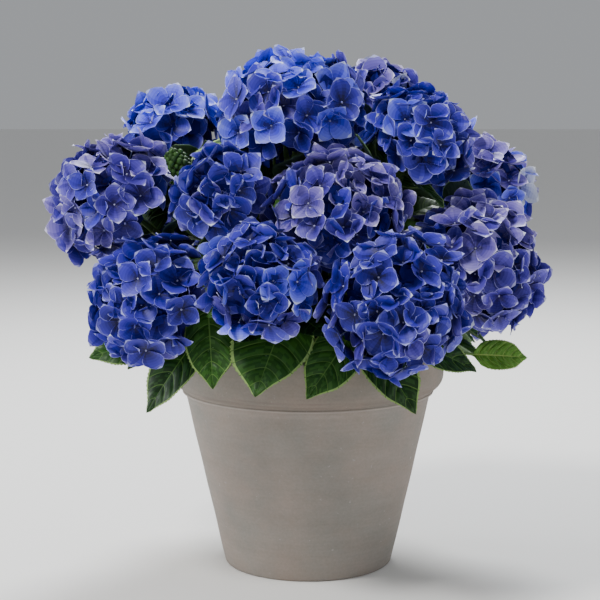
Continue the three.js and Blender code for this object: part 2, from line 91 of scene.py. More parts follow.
# Potting mix
SOIL_TOP = 207
SOIL_EDGE_DROP = 5
SOIL_LUMP = 2.5
SOIL_CROWN = 1.5
# Lumps: how many waves, their range of wave numbers per millimetre, their share of the height and the grain
SOIL_WAVES = 14
SOIL_WAVE_NUMBERS = (0.05, 0.35)
SOIL_WAVE_SHARE = 0.25
SOIL_GRAIN = 0.5
SOIL_FADE = 10
SOIL_RINGS = 44
SOIL_SEGMENTS = 144
SOIL_WAIST = 90
CHIPS = 620
CHIP_CLEAR = 5
CHIP_SHIFT = 1.2
CHIP_TIP = 0.3
CHIP_SCALES = ((0.35, 0.4, 0.5), (1, 1, 1))
CHIP_GRAIN = 350
# Chips of each kind: name, finish, seed, share of all the chips, and size
CHIP_KINDS = [
    ("bark_chips", "chip", 11, 0.4, (6, 2.6, 1.4)),
    ("dark_chips", "chip_dark", 12, 0.45, (7, 3, 1.6)),
    ("grit", "grit", 13, 0.15, (3.2, 2.6, 2)),
]

# Flower heads: azimuth, lift and reach from the crown's centre, then radius and colour family
CROWN_CENTRE = np.array([0.0, 0.0, 299.0])
LEAN_CENTRE = np.array([0.0, 0.0, 215.0])
HEADS = [
    ("head_top", -25, 77, 171, 75, "bright"),
    ("head_top_left", -113, 43, 212, 58, "light"),
    ("head_left", -75, 22, 215, 68, "violet"),
    ("head_centre_left", -32, 30, 183, 48, "deep"),
    ("head_lower_left", -54, -4, 187, 67, "deep"),
    ("head_centre", 12, 28, 140, 73, "violet"),
    ("head_lower_centre", -13, 4, 185, 58, "blue"),
    ("head_lower_right", 23, -2, 196, 72, "deep"),
    ("head_upper_right", 61, 49, 188, 60, "blue"),
    ("head_top_right", 129, 63, 204, 48, "pale"),
    ("head_right", 70, 5, 179, 74, "violet"),
    ("head_far_right", 102, 25, 212, 55, "fair"),
    ("head_back_right", 117, -4, 186, 66, "blue"),
    ("head_back_lower", 161, -3, 186, 69, "violet"),
    ("head_back_lower_left", -155, -3, 188, 70, "blue"),
    ("head_back_left", -107, -3, 180, 62, "deep"),
    ("head_back_mid_right", 141, 30, 194, 65, "deep"),
    ("head_back", -178, 33, 190, 64, "blue"),
    ("head_back_mid_left", -135, 27, 190, 64, "violet"),
    ("head_back_top", -160, 63, 182, 64, "blue"),
]
HEAD_FLATTEN = 0.87
UNDERSIDE_FLATTEN = 0.62
HEAD_GAP = 1.2
CORE_SHARE = 0.84
# Share of the head's radius from its centre down to where its floret stalks meet
NODE_DROP = 0.2

# Florets: four broad sepals in a shallow bowl
FLORET_ANGLE = math.radians(117)
FLORET_PITCH = 30
FLORET_REACH = 20
FLORET_DISH = 8
FLORET_TILT = 0.45
FLORET_RISE = 0.14
FLORET_LIFT = 2.5
FLORET_DEPTH = 10
# How much deeper florets sit on the side of a head that faces out of the crown
OUTER_DEPTH = 8
# A floret that reaches past a wall is lowered in these steps, down to this share of the head's radius
FLORET_STEP = 2
LEAST_HEIGHT = 0.55
# How much of a sepal's length has to stay inside the walls between heads, and how far past them it may reach
KEPT_INSIDE = 0.85
WALL_OVERLAP = 3
SEPAL_LENGTHS = (17.5, 23.5)
# Share of a sepal's length, then the half angle that it spans there about the floret's middle
SEPAL_STATIONS = [
    (0.07, 60),
    (0.21, 61),
    (0.36, 61),
    (0.5, 59),
    (0.63, 55),
    (0.75, 47),
    (0.86, 33),
    (0.95, 16),
    (1.06, 0),
]
SEPAL_ACROSS = [-1, -0.94, -0.63, -0.3, 0, 0.3, 0.63, 0.94, 1]
# Share of its length over which a sepal's edge may wander
BOW_LENGTH = 0.67
# How florets vary: depth of the bowl, then breadth, length, wave, tip and edge of their sepals
DISH_SHARES = (0.6, 1.25)
SEPAL_BREADTHS = (0.88, 1.06)
SEPAL_SHARES = (0.92, 1.08)
SEPAL_WAVES = (0.2, 1.0)
TIP_CURLS = (-4, 3)
TIP_CURL_FROM = 0.6
EDGE_WANDER = 0.06
EDGE_DRAW = 0.12
POINT_SHARE = 0.45
POINT_FROM = 0.7
POINT_LENGTH = 0.22
INNER_STATIONS = [(0.07, 60), (0.5, 60), (0.84, 38), (1.06, 0)]
INNER_ACROSS = [-1, 0, 1]
SEPAL_RIM_FROM = 0.7
SEPAL_TONES = 7
STRIP_VARIETY = 0.9
# Tones of the thin strips along a sepal's sides, from the throat to where the rim begins
SIDE_RIM = [2, 4, 5, 7, 7]
# Share of sepals whose rim carries a whitish painted highlight
GLINT_SHARE = 0.09
# Florets in shade inside a head: share of its radius, pitch, turn of the first, room to the walls and size
INNER_HEIGHT = 0.72
INNER_PITCH = 32
INNER_START = 1.3
INNER_ROOM = 6
INNER_SHARE = 0.9
EYE_RADIUS = 1.0
EYE_HEIGHT = 1.1
EYE_SIDES = 6
BEAD_SIDES = 6
PEDICEL_RADIUS = 0.6
PEDICEL_SIDES = 3

# Canes, shoots and the stalks that carry the heads
STALK_RADIUS = 3.2
STALK_LENGTH = 15
STALK_SIDES = 10
CANE_FOOT_RADIUS = 5.4
SHOOT_FOOT_RADIUS = 4.2
LIMB_STEPS = 6
BARK_STEPS = 72
BARK_SIDES = 18
BARK_RELIEF = 0.16
JOINT_SPACING = 34
JOINT_SWELL = 0.54
JOINT_LENGTH = 3.2
# How far a limb's end headings reach along it, as a share of its span
BEND_PULL = 0.38
CANE_LEAN = 0.35
SHOOT_LEAN = 0.9
# Share of a head's distance from the middle at which its cane leaves the potting mix
CANE_FOOT_SHARE = 0.26
CANES = [0, 2, 5, 7, 8, 13, 14]
# Each shoot's head, the cane that it leaves and the place along that cane
SHOOTS = [
    (1, 2, 0.3),
    (3, 0, 0.28),
    (4, 2, 0.16),
    (6, 5, 0.22),
    (9, 8, 0.34),
    (10, 8, 0.2),
    (11, 8, 0.26),
    (12, 13, 0.2),
    (15, 14, 0.2),
    (16, 13, 0.3),
    (17, 0, 0.36),
    (18, 14, 0.3),
    (19, 0, 0.44),
]

# Leaves
# Share of a leaf's length, then of its half width, at the corners by which its solid is known
LEAF_STATIONS = [(0.2, 0.78), (0.46, 1)]
CORNER_MATCH = 0.05
LEAF_FOLD = 0.16
LEAF_LOOK = 38
LEAF_ROLL = 15
LEAF_DROOPS = (0.05, 0.11)
LEAF_WAVES = (0.9, 2.2)
LEAF_TRIES = 14
LEAF_SHRINK = 0.035
VEINS = 6
VEIN_HALF_WIDTH = 0.0045
MIDRIB_WIDTH = 1.4
MIDRIB_RISE = 0.3
EDGE_FROM = 0.95
LEAF_ACROSS = [0.22, 0.44, 0.64, 0.82, EDGE_FROM, 1]
PAIRED_ACROSS = [0.5, EDGE_FROM, 1]
BETWEEN_VEINS = 4
QUILT = 1.3
PUCKER = 0.35
TOOTH = 0.045
TOOTH_LEAN = 0.006
# The tip is drawn out from this share of the length on
TIP_FROM = 0.74
TIP_DRAW = 0.5
LIT_SHARE = 0.4
BLADE_THICKNESS = 0.5
TWIG_RADIUS = 2.2
TWIG_LENGTH = 14
TWIG_SIDES = 8
TWIG_STEPS = 10
PETIOLE_RADIUS = 1.6

# Front sprays leaf by leaf: limb, place along it, then each leaf's tip azimuth, tip reach, tip height,
# turn, dip, length, width and the azimuth that its face looks toward
FRONT_SPRAYS = [
    ("leaves_front_left", 4, 0.62, [
        (-52, 197, 178, -74, 50, 100, 52, -15),
        (-30, 178, 207, 10, 60, 84, 48, -10),
    ]),
    ("leaves_front", 6, 0.45, [
        (-14.5, 194, 206, -30, 46, 96, 78, -10),
        (-22, 177, 234, -10, 44, 54, 38, 0),
        (8, 164, 240, 16, 34, 84, 60, 0),
    ]),
    ("leaves_front_right", 7, 0.5, [
        (-0.5, 188, 204, -44, 42, 92, 48, 5),
        (31, 194, 186, 58, 50, 100, 54, 15),
    ]),
    ("leaves_right", 10, 0.5, [
        (57, 194, 215, 96, 22, 92, 48, 25),
        (74.5, 226, 222, 98, 3, 76, 42, 20),
    ]),
    ("leaves_left", 15, 0.55, [
        (-81, 213, 224, -84, 22, 84, 46, -45),
        (-64, 196, 214, -60, 36, 84, 50, -40),
    ]),
]
# Skirt sprays: limb, place along it and azimuth
SKIRT_SPRAYS = [
    (12, 0.5, 94),
    (12, 0.35, 128),
    (13, 0.45, 164),
    (14, 0.55, -174),
    (14, 0.45, -138),
    (15, 0.65, -90),
]
# What a skirt leaf measures, each with how far it may vary down and up, and the sides to which leaves turn
SKIRT_LEAF = {
    "reach": (194, -12, 10),
    "z": (207, -14, 10),
    "dip": (32, -14, 10),
    "length": (96, -12, 8),
    "width": (60, -8, 8),
}
SKIRT_SPREAD = 12
SKIRT_LIFT = 14
SKIRT_SIDES = [-1.5, 1.5, -0.5, 0.5]
# Sprays in the gaps between heads: limb, place along it, azimuth and lift
GAP_SPRAYS = [
    (3, 0.6, -60, 42),
    (1, 0.45, -95, 12),
    (6, 0.6, -34, 8),
    (5, 0.45, 50, 14),
    (11, 0.6, 108, 40),
    (18, 0.55, -130, 4),
    (16, 0.45, 134, 8),
]
GAP_LEAF = {"length": (90, -14, 8), "width": (58, -8, 8)}
GAP_REACH = 174
GAP_DIP = 42
GAP_SPREAD = 11
GAP_SIDES = [-1, 1, 0, 1.8]

# Young flower head, still green beads, on a side twig of the shoot to its right
YOUNG_HEAD = (-121, -96, 411)
YOUNG_STALK_RADIUS = 0.45
YOUNG_RADIUS = 10
YOUNG_LENGTH = 20
YOUNG_BEADS = 46
YOUNG_BEAD_RADII = (2.5, 3.8)
YOUNG_LIMB = 3
YOUNG_AT = 0.62
# Radius of its twig at the foot, and what that loses up to the head
YOUNG_TWIG = (1.7, 0.4)

# Leaf behind the lower left head: its row as in a front spray, with its limb, place along it and seed
LEFT_LEAF = (-72, 228, 223, -63, 9, 84, 50, -20)
LEFT_LEAF_LIMB = 4
LEFT_LEAF_AT = 0.5
LEFT_LEAF_SEED = 4100

# Leaf pairs on the limbs inside the crown
PAIRS_AT = (0.42, 0.66, 0.88)
PAIR_TRIES = 70
PAIR_LENGTHS = (52, 84)
PAIR_SLIMNESS = (0.55, 0.7)
PAIR_PETIOLES = (12, 26)
PAIR_DROOPS = (0.04, 0.12)
PAIR_WAVES = (0.6, 1.6)
# Room about such a leaf: to other leaves, the pot and the potting mix, and how far out it may reach
PAIR_ROOM = 5
POT_ROOM = 3
SOIL_ROOM = 6
CROWN_REACH = 200
HEAD_SHARE = 0.97

# Colours, the heights in metres between which bark turns green, and the steps that lay out a node tree
BLACK = (0, 0, 0)
WHITE = (1, 1, 1)
BARK_GREENS = (0.21, 0.32)
FIRST_COLUMN = -1600
COLUMN_STEP = 200
ROW_STEP = 260

# Camera, floor and light
IMAGE_SIZE = 600
CAMERA_PLACE = (0, -1576, 470)
CAMERA_PITCH = 0.125
CAMERA_YAW = 0.00537
FOCAL_PIXELS = 1544.4
SENSOR_WIDTH = 36
FLOOR_REACH = 30
DAYLIGHT = (0.93, 0.96, 1)
DAYLIGHT_STRENGTH = 0.38
# Round lamps in metres and watts: name, place, point aimed at, size, power and colour
CROWN_AIM = (0, 0, 0.3)
POT_AIM = (0, 0, 0.2)
LAMPS = [
    ("window", (-1.1, -1.0, 2.3), CROWN_AIM, 0.6, 54, (1, 0.985, 0.96)),
    ("fill", (1.8, -1.3, 0.9), CROWN_AIM, 1.4, 5, WHITE),
    ("sky_behind", (0.2, 1.5, 2.1), CROWN_AIM, 0.8, 80, (0.95, 0.98, 1)),
    ("left_side", (-2.2, 0.35, 0.5), POT_AIM, 1.0, 24, (0.97, 0.99, 1)),
    ("right_side", (2.2, 0.45, 0.6), POT_AIM, 1.0, 5, (0.97, 0.99, 1)),
]


def seeded(seed):
    state = seed & 0xFFFFFFFF

    def draw():
        nonlocal state
        state = (state + 0x6D2B79F5) & 0xFFFFFFFF
        t = state
        t = ((t ^ (t >> 15)) * (t | 1)) & 0xFFFFFFFF
        t ^= (t + (((t ^ (t >> 7)) * (t | 61)) & 0xFFFFFFFF)) & 0xFFFFFFFF
        return (t ^ (t >> 14)) / 4294967296

    return draw


def between(random, low, high):
    return low + (high - low) * random()


def unit(v):
    return v / np.linalg.norm(v)


def heading(azimuth, lift):
    a = math.radians(azimuth)
    e = math.radians(lift)
    return np.array([math.sin(a) * math.cos(e), -math.cos(a) * math.cos(e), math.sin(e)])


def square_to(axis):
    away = UP if abs(axis[2]) < 0.9 else np.array([1.0, 0.0, 0.0])
    side = unit(np.cross(away, axis))
    return side, np.cross(axis, side)


def spoke(side, other, angle):
    return side * math.cos(angle) + other * math.sin(angle)


def turned_about(v, axis, angle):
    c, s = math.cos(angle), math.sin(angle)
    return v * c + np.cross(axis, v) * s + axis * (axis @ v) * (1 - c)


# A heap of points and faces, each face with its material, that becomes one piece
class Heap:
    def __init__(self):
        self.points = []
        self.faces = []
        self.finishes = []
        self.size = 0

    def add(self, points, faces, finishes):
        start = self.size
        self.points.append(np.asarray(points, float))
        self.size += len(points)
        for face, finish in zip(faces, finishes):
            self.faces.append([start + i for i in face])
            self.finishes.append(finish)

    def piece(self, name, slot, nodes):
        finishes = sorted(set(self.finishes))
        mesh = bpy.data.meshes.new(name)
        mesh.from_pydata((np.concatenate(self.points) * MM).tolist(), [], self.faces)
        for finish in finishes:
            mesh.materials.append(MATERIALS[finish])
        order = {finish: i for i, finish in enumerate(finishes)}
        mesh.polygons.foreach_set("material_index", [order[f] for f in self.finishes])
        mesh.polygons.foreach_set("use_smooth", [True] * len(self.faces))
        mesh.update()
        piece = bpy.data.objects.new(name, mesh)
        bpy.context.scene.collection.objects.link(piece)
        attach(piece, "root")
        if nodes:
            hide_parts(*nodes)


# Materials


def new_material(name, colour, roughness, specular):
    material = bpy.data.materials.new(name)
    material.use_nodes = True
    shader = material.node_tree.nodes["Principled BSDF"]
    shader.inputs["Base Color"].default_value = (*colour, 1)
    shader.inputs["Roughness"].default_value = roughness
    shader.inputs["Specular IOR Level"].default_value = specular
    return material, shader


def add_node(tree, kind, inputs=None, **settings):
    """A node to the right of what feeds it. Each input gets a value, or an output that is linked to it."""
    node = tree.nodes.new(kind)
    for name, value in settings.items():
        setattr(node, name, value)
    column = FIRST_COLUMN
    for name, value in (inputs or {}).items():
        if isinstance(value, bpy.types.NodeSocket):
            tree.links.new(value, node.inputs[name])
            column = max(column, value.node.location.x + COLUMN_STEP)
        else:
            node.inputs[name].default_value = value
    row = sum(other.location.x == column for other in tree.nodes)
    node.location = (column, -ROW_STEP * row)
    return node


def stretched(tree, place, scale):
    return add_node(tree, "ShaderNodeMapping", {"Vector": place, "Scale": scale}).outputs["Vector"]


def noise(tree, place, scale, detail, roughness=0.5):
    inputs = {"Vector": place, "Scale": scale, "Detail": detail, "Roughness": roughness}
    return add_node(tree, "ShaderNodeTexNoise", inputs).outputs["Fac"]


def height_above_foot(tree, place):
    return add_node(tree, "ShaderNodeSeparateXYZ", {"Vector": place}).outputs["Z"]


def blend_colours(tree, factor, low, high, start=0.35, end=0.65):
    ramp = add_node(tree, "ShaderNodeValToRGB", {"Fac": factor})
    low_end, high_end = ramp.color_ramp.elements
    low_end.position = start
    low_end.color = (*low, 1)
    high_end.position = end
    high_end.color = (*high, 1)
    return ramp.outputs["Color"]


# The colour sockets of a mix node share their names with its other sockets, so they go by number
def mix_colours(tree, first, second, share, kind="MIX"):
    inputs = {0: share, 6: first, 7: second}
    return add_node(tree, "ShaderNodeMix", inputs, data_type="RGBA", blend_type=kind).outputs[2]


def textured(name, colour, roughness, specular):
    """A material, with its tree and the place on the object that its patterns read."""
    material, _ = new_material(name, colour, roughness, specular)
    tree = material.node_tree
    return material, tree, add_node(tree, "ShaderNodeTexCoord").outputs["Object"]


def dress(tree, colour, relief, strength, distance):
    shader = tree.nodes["Principled BSDF"]
    tree.links.new(colour, shader.inputs["Base Color"])
    bump = add_node(tree, "ShaderNodeBump", {"Height": relief, "Strength": strength, "Distance": distance})
    tree.links.new(bump.outputs["Normal"], shader.inputs["Normal"])


def terracotta():
    material, tree, place = textured("unglazed_clay", (0.4, 0.36, 0.32), 0.85, 0.3)
    wipes = noise(tree, stretched(tree, place, (9, 9, 26)), 1.6, 6, 0.6)
    clouds = noise(tree, place, 13, 6, 0.66)
    specks = noise(tree, place, 420, 2)
    flecks = noise(tree, place, 130, 4, 0.7)
    lines = noise(tree, stretched(tree, place, (14, 14, 330)), 1.3, 3)
    body = blend_colours(tree, wipes, (0.248, 0.215, 0.187), (0.315, 0.28, 0.25))
    cast = blend_colours(tree, clouds, (0.36, 0.284, 0.24), (0.226, 0.232, 0.212), 0.38, 0.62)
    scores = blend_colours(tree, lines, (0.2, 0.172, 0.148), (0.36, 0.325, 0.29), 0.38, 0.68)
    pits = blend_colours(tree, specks, (0.19, 0.165, 0.14), (0.37, 0.33, 0.295), 0.3, 0.72)
    marks = blend_colours(tree, flecks, BLACK, (0.46, 0.43, 0.4), 0.62, 0.7)
    colour = mix_colours(tree, body, cast, 0.5)
    colour = mix_colours(tree, colour, scores, 0.08)
    colour = mix_colours(tree, colour, pits, 0.16)
    colour = mix_colours(tree, colour, marks, 0.7, "LIGHTEN")
    # Painted shade in the crease under the band, broken into streaks by the fine lines
    height = height_above_foot(tree, place)
    below = blend_colours(tree, height, WHITE, CREASE_SHADE, *CREASE_SHADE_SETS_IN)
    above = blend_colours(tree, height, CREASE_SHADE, WHITE, *CREASE_SHADE_FADES)
    painted_crease_shade = mix_colours(tree, below, above, 1, "LIGHTEN")
    colour = mix_colours(tree, colour, painted_crease_shade, lines, "MULTIPLY")
    dress(tree, colour, wipes, 0.12, 0.0008)
    return material


def potting_mix():
    material, tree, place = textured("bark_mix", (0.05, 0.035, 0.025), 0.95, 0.2)
    crumbs = noise(tree, place, 160, 6, 0.7)
    colour = blend_colours(tree, crumbs, (0.018, 0.012, 0.009), (0.1, 0.07, 0.048))
    dress(tree, colour, crumbs, 0.7, 0.002)
    return material


def cane_bark():
    material, tree, place = textured("cane_bark", (0.2, 0.2, 0.1), 0.6, 0.35)
    height = height_above_foot(tree, place)
    climb = blend_colours(tree, height, (0.17, 0.105, 0.06), (0.17, 0.27, 0.09), *BARK_GREENS)
    flecks = noise(tree, place, 240, 4)
    spots = blend_colours(tree, flecks, (0.07, 0.05, 0.03), (0.3, 0.28, 0.16))
    dress(tree, mix_colours(tree, climb, spots, 0.3), flecks, 0.35, 0.0006)
    return material


# Each colour family of sepals: throat, middle, outer part and rim. The pale rim is partly the sepal's own
# margin and partly painted light shining through it
SEPAL_COLOURS = {
    "deep": [(0.004, 0.003, 0.06), (0.011, 0.007, 0.2), (0.04, 0.03, 0.42), (0.37, 0.39, 0.88)],
    "blue": [(0.006, 0.004, 0.09), (0.014, 0.008, 0.27), (0.058, 0.046, 0.54), (0.43, 0.45, 0.93)],
    "light": [(0.012, 0.009, 0.2), (0.043, 0.038, 0.62), (0.16, 0.18, 0.97), (0.59, 0.67, 1)],
    "violet": [(0.012, 0.005, 0.09), (0.027, 0.014, 0.23), (0.1, 0.073, 0.5), (0.56, 0.55, 0.94)],
    "lilac": [(0.02, 0.011, 0.12), (0.056, 0.037, 0.3), (0.21, 0.163, 0.56), (0.74, 0.7, 0.95)],
    "pale": [(0.1, 0.11, 0.34), (0.24, 0.27, 0.54), (0.5, 0.54, 0.71), (0.76, 0.8, 0.86)],
}
# The families that the florets of each kind of head are dealt from
FAMILY_MIXES = {
    "deep": ["deep", "deep", "deep", "blue", "violet"],
    "blue": ["blue", "blue", "deep", "violet", "light"],
    "bright": ["blue", "light", "blue", "deep", "violet"],
    "light": ["light", "light", "light", "blue"],
    "violet": ["violet", "violet", "lilac", "violet", "blue"],
    "fair": ["lilac", "light", "pale", "lilac", "light"],
    "pale": ["violet", "lilac", "pale", "lilac", "pale"],
}
# The family that florets facing the sky take instead, paler for most kinds as painted light from above, and
# how often
SKY_LIT_FAMILIES = {
    "deep": "blue",
    "blue": "blue",
    "bright": "light",
    "light": "light",
    "violet": "lilac",
    "fair": "lilac",
    "pale": "lilac",
}
SKY_LIT_SHARE = 0.96
# Roughness, gloss and sheen of a sepal, and the colour of a painted highlight along the rim of a few sepals
SEPAL_FINISH = (0.5, 0.3, 0.08)
SHEEN_ROUGHNESS = 0.4
GLINT = (0.72, 0.76, 0.96)

# Colour, roughness and gloss of each plain finish
FINISHES = {
    # Paler clay on the lip under the band: a painted highlight
    "rubbed_clay": ((0.385, 0.335, 0.3), 0.8, 0.3),
    "sepal_shade": ((0.01, 0.007, 0.18), 0.7, 0.2),
    "eye": ((0.42, 0.42, 0.7), 0.5, 0.4),
    "pedicel": ((0.2, 0.24, 0.42), 0.6, 0.3),
    "leaf_dark": ((0.007, 0.034, 0.004), 0.5, 0.25),
    "leaf_dark_lit": ((0.016, 0.066, 0.007), 0.45, 0.3),
    "leaf_mid": ((0.016, 0.064, 0.006), 0.5, 0.25),
    "leaf_mid_lit": ((0.03, 0.105, 0.01), 0.45, 0.3),
    "leaf_bright": ((0.075, 0.2, 0.016), 0.5, 0.25),
    "leaf_bright_lit": ((0.11, 0.26, 0.03), 0.45, 0.3),
    "leaf_vein": ((0.095, 0.2, 0.04), 0.55, 0.2),
    "leaf_vein_pale": ((0.27, 0.4, 0.09), 0.55, 0.2),
    # The pale margin of a leaf is a painted highlight
    "leaf_edge": ((0.27, 0.42, 0.12), 0.55, 0.2),
    "leaf_under": ((0.11, 0.2, 0.08), 0.6, 0.3),
    "bud": ((0.018, 0.056, 0.01), 0.6, 0.25),
    "bud_light": ((0.034, 0.095, 0.017), 0.6, 0.25),
    "petiole": ((0.11, 0.2, 0.045), 0.5, 0.4),
    "chip": ((0.11, 0.062, 0.03), 0.9, 0.2),
    "chip_dark": ((0.03, 0.02, 0.013), 0.9, 0.2),
    "grit": ((0.5, 0.48, 0.43), 0.9, 0.2),
}

MATERIALS = {
    "clay": terracotta(),
    "mix": potting_mix(),
    "bark": cane_bark(),
}


def plain(name, colour, roughness, specular, sheen=0.0):
    material, shader = new_material(name, colour, roughness, specular)
    shader.inputs["Sheen Weight"].default_value = sheen
    shader.inputs["Sheen Roughness"].default_value = SHEEN_ROUGHNESS
    MATERIALS[name] = material


def shades(throat, middle, outer, rim):
    """Tones from throat to tip, then the two tones of the rim."""
    throat, middle, outer, rim = (np.array(colour) for colour in (throat, middle, outer, rim))
    tones = [throat, throat * 0.5 + middle * 0.5, middle, middle * 0.65 + outer * 0.35]
    tones += [middle * 0.3 + outer * 0.7, outer, outer * 0.82 + rim * 0.18]
    return tones + [outer * 0.5 + rim * 0.5, rim]


for family, colours in SEPAL_COLOURS.items():
    for zone, colour in enumerate(shades(*colours)):
        plain(f"sepal_{family}_{zone}", [float(c) for c in colour], *SEPAL_FINISH)
    plain(f"sepal_{family}_glint", GLINT, *SEPAL_FINISH)
for finish, look in FINISHES.items():
    plain(finish, *look)


# Pot


def turned_surface(profile, segments, wobble=None):
    rings = []
    points = []
    faces = []
    for radius, z in profile:
        if radius == 0:
            points.append((0, 0, z))
            rings.append([len(points) - 1])
            continue
        ring = []
        for i in range(segments):
            a = 2 * math.pi * i / segments
            r, lift = wobble(radius, a, z) if wobble else (radius, 0)
            points.append((r * math.cos(a), r * math.sin(a), z + lift))
            ring.append(len(points) - 1)
        rings.append(ring)
    for low, high in zip(rings, rings[1:]):
        for i in range(segments):
            j = (i + 1) % segments
            if len(low) > 1 and len(high) > 1:
                faces.append((low[i], low[j], high[j], high[i]))
            elif len(low) > 1:
                faces.append((low[i], low[j], high[0]))
            else:
                faces.append((low[0], high[j], high[i]))
    return points, faces


def arc(centre, radius, start, end, steps):
    angles = np.radians(np.linspace(start, end, steps))
    return [(centre[0] + radius * math.cos(a), centre[1] + radius * math.sin(a)) for a in angles]


def wall_radius(z):
    return FOOT_RADIUS + (BODY_TOP_RADIUS - FOOT_RADIUS) * z / BODY_TOP - WALL


def mouth_radius(z):
    low, high = BODY_TOP - MOUTH_LOW, POT_HEIGHT - MOUTH_HIGH
    narrow = wall_radius(BODY_TOP)
    return narrow + (MOUTH_RADIUS - narrow) * (z - low) / (high - low)


def pot_profile():
    """From the middle of the underside up the outside, over the rim and down to the middle of the floor."""
    profile = [(0, 0), (FOOT_RADIUS - FOOT_ROUND - FOOT_RING, 0)]
    profile += arc((FOOT_RADIUS - FOOT_ROUND, FOOT_ROUND), FOOT_ROUND, -90, -12, 6)
    for k in range(1, BODY_STEPS + 1):
        z = FOOT_ROUND + (BODY_TOP - LIP_START - FOOT_ROUND) * k / BODY_STEPS
        profile.append((wall_radius(z) + WALL, z))
    profile += [(BODY_TOP_RADIUS + out, BODY_TOP + up) for out, up in LIP]
    profile += arc((RIM_RADIUS - BAND_ROUND, BODY_TOP + BAND_ROUND_AT), BAND_ROUND, -64, -4, 10)
    profile += [(RIM_RADIUS, z) for z in np.linspace(BODY_TOP + BAND_FLAT_AT, POT_HEIGHT - 3, 5)]
    profile += arc((RIM_RADIUS - RIM_ROUND, POT_HEIGHT - RIM_ROUND), RIM_ROUND, 10, 90, 6)
    profile += arc((MOUTH_RADIUS + RIM_ROUND, POT_HEIGHT - RIM_ROUND), RIM_ROUND, 90, 180, 6)
    profile += [(mouth_radius(z), z) for z in (POT_HEIGHT - 14, POT_HEIGHT - 30, BODY_TOP - MOUTH_LOW)]
    profile += [(wall_radius(z), z) for z in (BODY_TOP * 0.6, FLOOR + FLOOR_CORNER[0])]
    profile += [(wall_radius(FLOOR) - FLOOR_CORNER[1], FLOOR), (0, FLOOR)]
    return profile


def pot_wobble(radius, angle, z):
    if z <= FOOT_ROUND or z > POT_HEIGHT - TRUE_RIM:
        return radius, 0
    shift = sum(size * math.sin(lobes * angle + z * turn) for size, lobes, turn in WOBBLES)
    return radius - WOBBLE_INSET + shift * WOBBLE_SHARE, 0


def make_pot():
    points, faces = turned_surface(pot_profile(), POT_SEGMENTS, pot_wobble)
    low, high = (BODY_TOP + edge for edge in LIP_HIGHLIGHT)
    finishes = []
    for face in faces:
        x, y, z = np.mean([points[i] for i in face], axis=0)
        # Faces on the lip take a paler clay: a painted highlight where the lip catches the light
        on_lip = low < z < high and math.hypot(x, y) > BODY_TOP_RADIUS
        finishes.append("rubbed_clay" if on_lip else "clay")
    heap = Heap()
    heap.add(points, faces, finishes)
    heap.piece("clay_pot", "pot", ["pot"])


# Potting mix


def make_soil():
    random = np.random.RandomState(11)
    edge_top = SOIL_TOP - SOIL_EDGE_DROP - SOIL_LUMP
    edge = mouth_radius(edge_top) - CLEAR
    waves = []
    for _ in range(SOIL_WAVES):
        number = random.uniform(*SOIL_WAVE_NUMBERS)
        waves.append((number, random.uniform(0, 2 * math.pi), random.uniform(0, 2 * math.pi)))

    def lumps(radius, angle, z):
        x, y = radius * math.cos(angle), radius * math.sin(angle)
        height = sum(math.sin(k * (x * math.cos(t) + y * math.sin(t)) + p) for k, t, p in waves)
        fade = min(1, (edge - radius) / SOIL_FADE)
        return radius, (height * SOIL_WAVE_SHARE + random.uniform(-SOIL_GRAIN, SOIL_GRAIN)) * fade

    sides = [(0, FLOOR + CLEAR), (wall_radius(FLOOR) - CLEAR - 4, FLOOR + CLEAR)]
    sides += [(wall_radius(SOIL_WAIST) - CLEAR, SOIL_WAIST), (edge, edge_top)]
    bottom, bottom_faces = turned_surface(sides, SOIL_SEGMENTS)
    rise = SOIL_EDGE_DROP + SOIL_CROWN
    top = [(edge * (1 - k / SOIL_RINGS), edge_top + rise * min(1, 3 * k / SOIL_RINGS))
           for k in range(SOIL_RINGS + 1)]
    top[-1] = (0, top[-1][1])
    top_points, top_faces = turned_surface(top, SOIL_SEGMENTS, lumps)
    # The top starts on the last ring of the sides
    kept = len(bottom) - SOIL_SEGMENTS
    faces = bottom_faces + [tuple(i + kept for i in face) for face in top_faces]
    heap = Heap()
    heap.add(bottom[:kept] + top_points, faces, ["mix"] * len(faces))
    heap.piece("potting_mix", "potting_mix", ["soil"])

    rings = [math.hypot(x, y) for x, y, _ in top_points]
    open_faces = [face for face in top_faces if max(rings[i] for i in face) < edge - CHIP_CLEAR]
    for kind in CHIP_KINDS:
        scatter_chips(top_points, open_faces, *kind)


